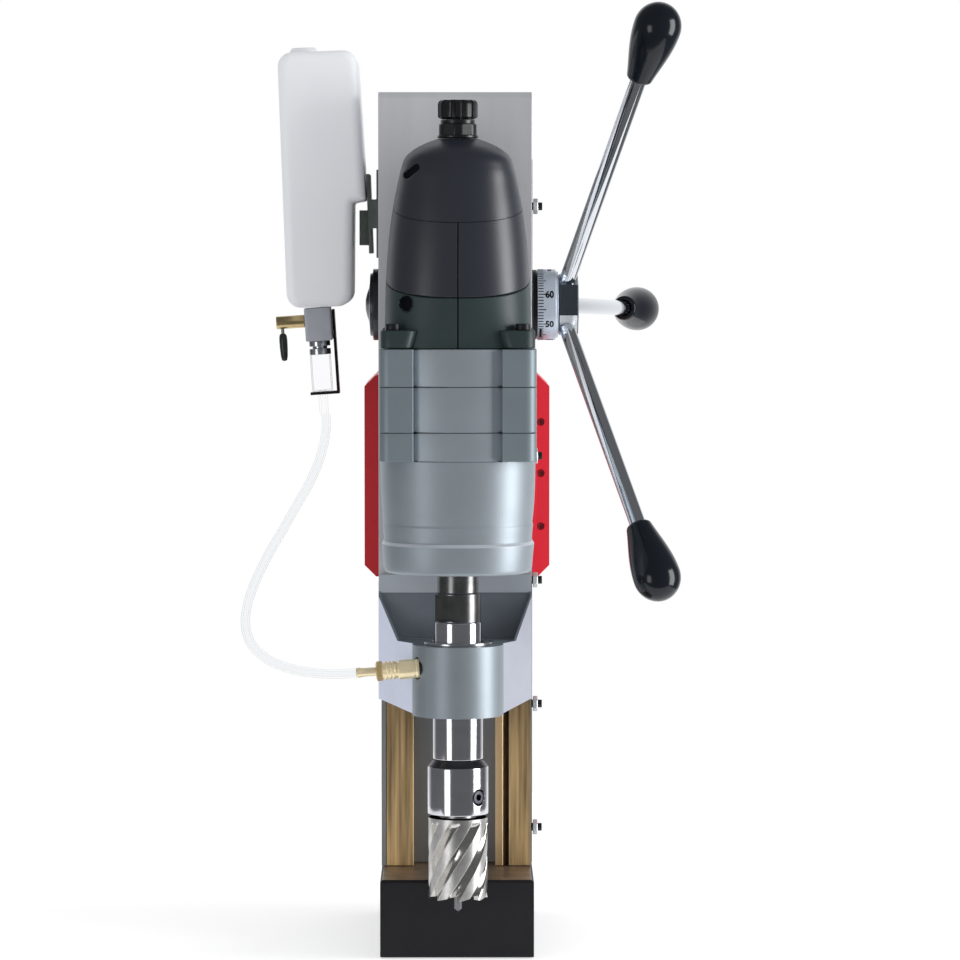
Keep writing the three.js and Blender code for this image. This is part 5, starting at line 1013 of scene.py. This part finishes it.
# Under the tank hangs the shut-off: a grey metal block, a brass stem with a black lever, a clear sight
# glass with a metal collar, and a thin black strap that holds the glass up.
valve_frame = lean_frame(-78.1, 353.2, -3.7)
block_line = rounded_line([(7.5, 9), (-7.5, 9), (-7.5, -9), (7.5, -9)], [1.2] * 4, 5)
block_rows = [np.column_stack([drawn_in(block_line, inset), np.full(len(block_line), z)])
              for z, inset in [(-18.6, 0.6), (-18.2, 0.1), (-17.9, 0), (-0.7, 0), (-0.3, 0.1), (0, 0.6)]]
put_piece("valve_body", closed_skin(placed(np.stack(block_rows), valve_frame)), "stand",
          [surface("grey die cast", (176, 179, 186), 0.45, 0.1, 0.05, 90, bump=0.08)], ["valve_block"])
stem_axis = along(valve_frame[:, 0], placed(np.array([0, 0, -7.2]), valve_frame))
stem_line = [(0, -23.6), (3.6, -23.6), (3.6, -7.8), (2.6, -7.8), (2.6, -4.5), (0, -4.5)]
put_turned("brass_stem", stem_line, stem_axis, "valve_lever",
           [surface("old brass", (206, 184, 136), 0.3, 1.0, 0.18, 120)], ["valve_stem"], 0.35)
lever_line = [(0, -13.4), (1.3, -13.4), (1.8, -13.9), (2.15, -15), (2.3, -17.4), (2.2, -22), (1.95, -26),
              (1.5, -28.2), (0.8, -28.75), (0, -28.8)]
lever_shift, lever_oval = (-20.4, 0, 0), [1, 1.25, 1, 1]
put_turned("valve_handle", lever_line, valve_frame * lever_oval, "valve_lever",
           [surface("lever black", (34, 37, 37), 0.35, specular=0.6)], ["valve_lever"], sides=48,
           shift=lever_shift)
put_turned("lever_pin", [(0, -9), (0.9, -9), (0.9, -14), (0, -14)], valve_frame, "valve_lever",
           [hook_zinc], sides=24, shift=lever_shift)
glass_shift = (-0.2, 0, 0)
glass_line = [(5.2, -26.5), (5.9, -26.5), (5.9, -46.3), (5.4, -46.9), (2.7, -46.9), (2.4, -59.9),
              (1.4, -59.9), (1.4, -46.6), (4.8, -46.2), (5.2, -45.4), (5.2, -26.5)]
put_turned("sight_glass_tube", glass_line, valve_frame, "stand",
           [clear_plastic("sight glass", (0.99, 0.99, 0.995), (0.04, 0.04, 0.05), 0.06)], ["sight_glass"],
           0.3, hollow=True, shift=glass_shift)
collar_line = [(0, -26.6), (6.1, -26.3), (6.1, -23.0), (4.2, -22.9), (4.2, -21.7), (6.0, -21.6), (6.0, -18.9),
               (5.4, -18.7), (0, -18.7)]
put_turned("glass_collar", collar_line, valve_frame, "stand",
           [surface("collar steel", (205, 208, 213), 0.18, 0.95)], rounding=0.2, shift=glass_shift)
from_node("glass_strap", "glass_strap_plate", "stand",
          [surface("strap black", (26, 26, 28), 0.4, 0.6)], 0.3)

# The red housing is moulded plastic, slipped round the back of the column. Three socket screws sit in
# recesses on its right wing, and it hides the electronics and carries the battery's rail. Its left
# wing's front takes a darker copy of the red as painted shade.
red_plastic = surface("red plastic", (250, 34, 56), 0.36, 0.0, 0.02, 40, bump=0.05)
housing = from_node("rear_housing", "red_housing", "stand", [
    red_plastic, surface("red plastic, painted shade", (205, 30, 42), 0.36, 0.0, 0.02, 40, bump=0.05)], 0.9, 3)
wing_x, wing_back = -41, 20
# Faces of the left wing's front take the darker red as painted shade.
paint_faces(housing, lambda centre, normal: centre.x < wing_x and centre.y < wing_back)
screw_red = surface("painted screw", (150, 18, 32), 0.5, 0.0, 0.1, 300)
screw_line = [(0, -1.9), (0.95, -1.9), (0.95, -0.75), (1.85, -0.75), (1.95, -1.0), (1.95, -2.15), (0, -2.15)]
for number, height in enumerate([229.5, 259.5, 288.5], 1):
    put_turned("housing_screw_%d" % number, screw_line, along((0, -1, 0), (47.3, 12, height)), "stand",
               [screw_red], rounding=0.12, sides=48)

# The control panel is a black plate on the housing's back, with a rocker for the magnet, a green
# start button and a red stop button, all moulded plastic.
for node, name, body, slot, material, edge, segments in [
    ("control_panel", "panel_plate", "stand", "black_plastic",
     surface("panel black", (26, 27, 29), 0.45, bump=0.2), 0.4, 2),
    ("start_button", "start_key", "start_button", "green_plastic",
     surface("green key", (32, 150, 74), 0.32), 0.7, 3),
    ("stop_button", "stop_key", "stop_button", "red_plastic",
     surface("red key", (206, 30, 38), 0.32), 0.8, 3),
]:
    from_node(node, name, body, [material], edge, segments)
rocker = from_node("magnet_switch", "magnet_rocker", "magnet_switch",
                   [surface("rocker black", (20, 20, 22), 0.22, specular=0.7)], 0.5, 3)
rocker_middle, rocker_shrink = np.mean(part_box("magnet_switch"), axis=0) / mm, np.array([0.04, 0, 0.04])
move_corners(rocker, lambda at: at + rocker_shrink * (rocker_middle - at))
head_line = [(0, -0.55), (0.75, -0.55), (0.75, 0.45), (1.7, 0.3), (2.0, -0.1), (2.0, -0.6), (0, -0.6)]
for number, (x, z) in enumerate([(-32.5, 227.6), (32.5, 227.6), (-32.5, 208.4), (32.5, 208.4)], 1):
    put_turned("panel_screw_%d" % number, head_line, along((0, 1, 0), (x, 97.1, z)), "stand",
               [black_oxide], rounding=0.15, sides=40)

# The battery is a moulded black box that slides up off its rail. Its cells fill it, its sides are
# ribbed for the grip, and a red release button stands in its top.
battery_black = surface("battery black", (30, 31, 33), 0.5, bump=0.35, bump_scale=1500, specular=0.45)
from_node("battery_pack", "battery_case", "battery", [battery_black], 1.2, 3)
from_node("battery_latch", "battery_release", "latch", [red_plastic], 0.6, 3)

# Inside lie the pinion on its shaft and the rack, the gears, the layshaft and the armature, all steel,
# and the stator and the magnet's coil, wound from enamelled copper and potted.
gear_steel = surface("gear steel", (150, 152, 156), 0.28, 1.0, 0.08, 200)
winding = surface("enamelled copper", (168, 92, 48), 0.38, 0.8, 0.2, 500, (1, 1, 6), 0.3, 1200)
iron_sheets = surface("iron sheets", (96, 98, 102), 0.45, 0.9, 0.1, 60, (1, 1, 30), 0.3, 600)
for material, names in [(gear_steel, ["pinion_shaft", "rack", "drive_gear", "layshaft"]),
                        (iron_sheets, ["armature", "stator"]), (winding, ["magnet_coil"])]:
    for name in names:
        inner_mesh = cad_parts[name].data
        inner_mesh.materials.clear()
        inner_mesh.materials.append(material)
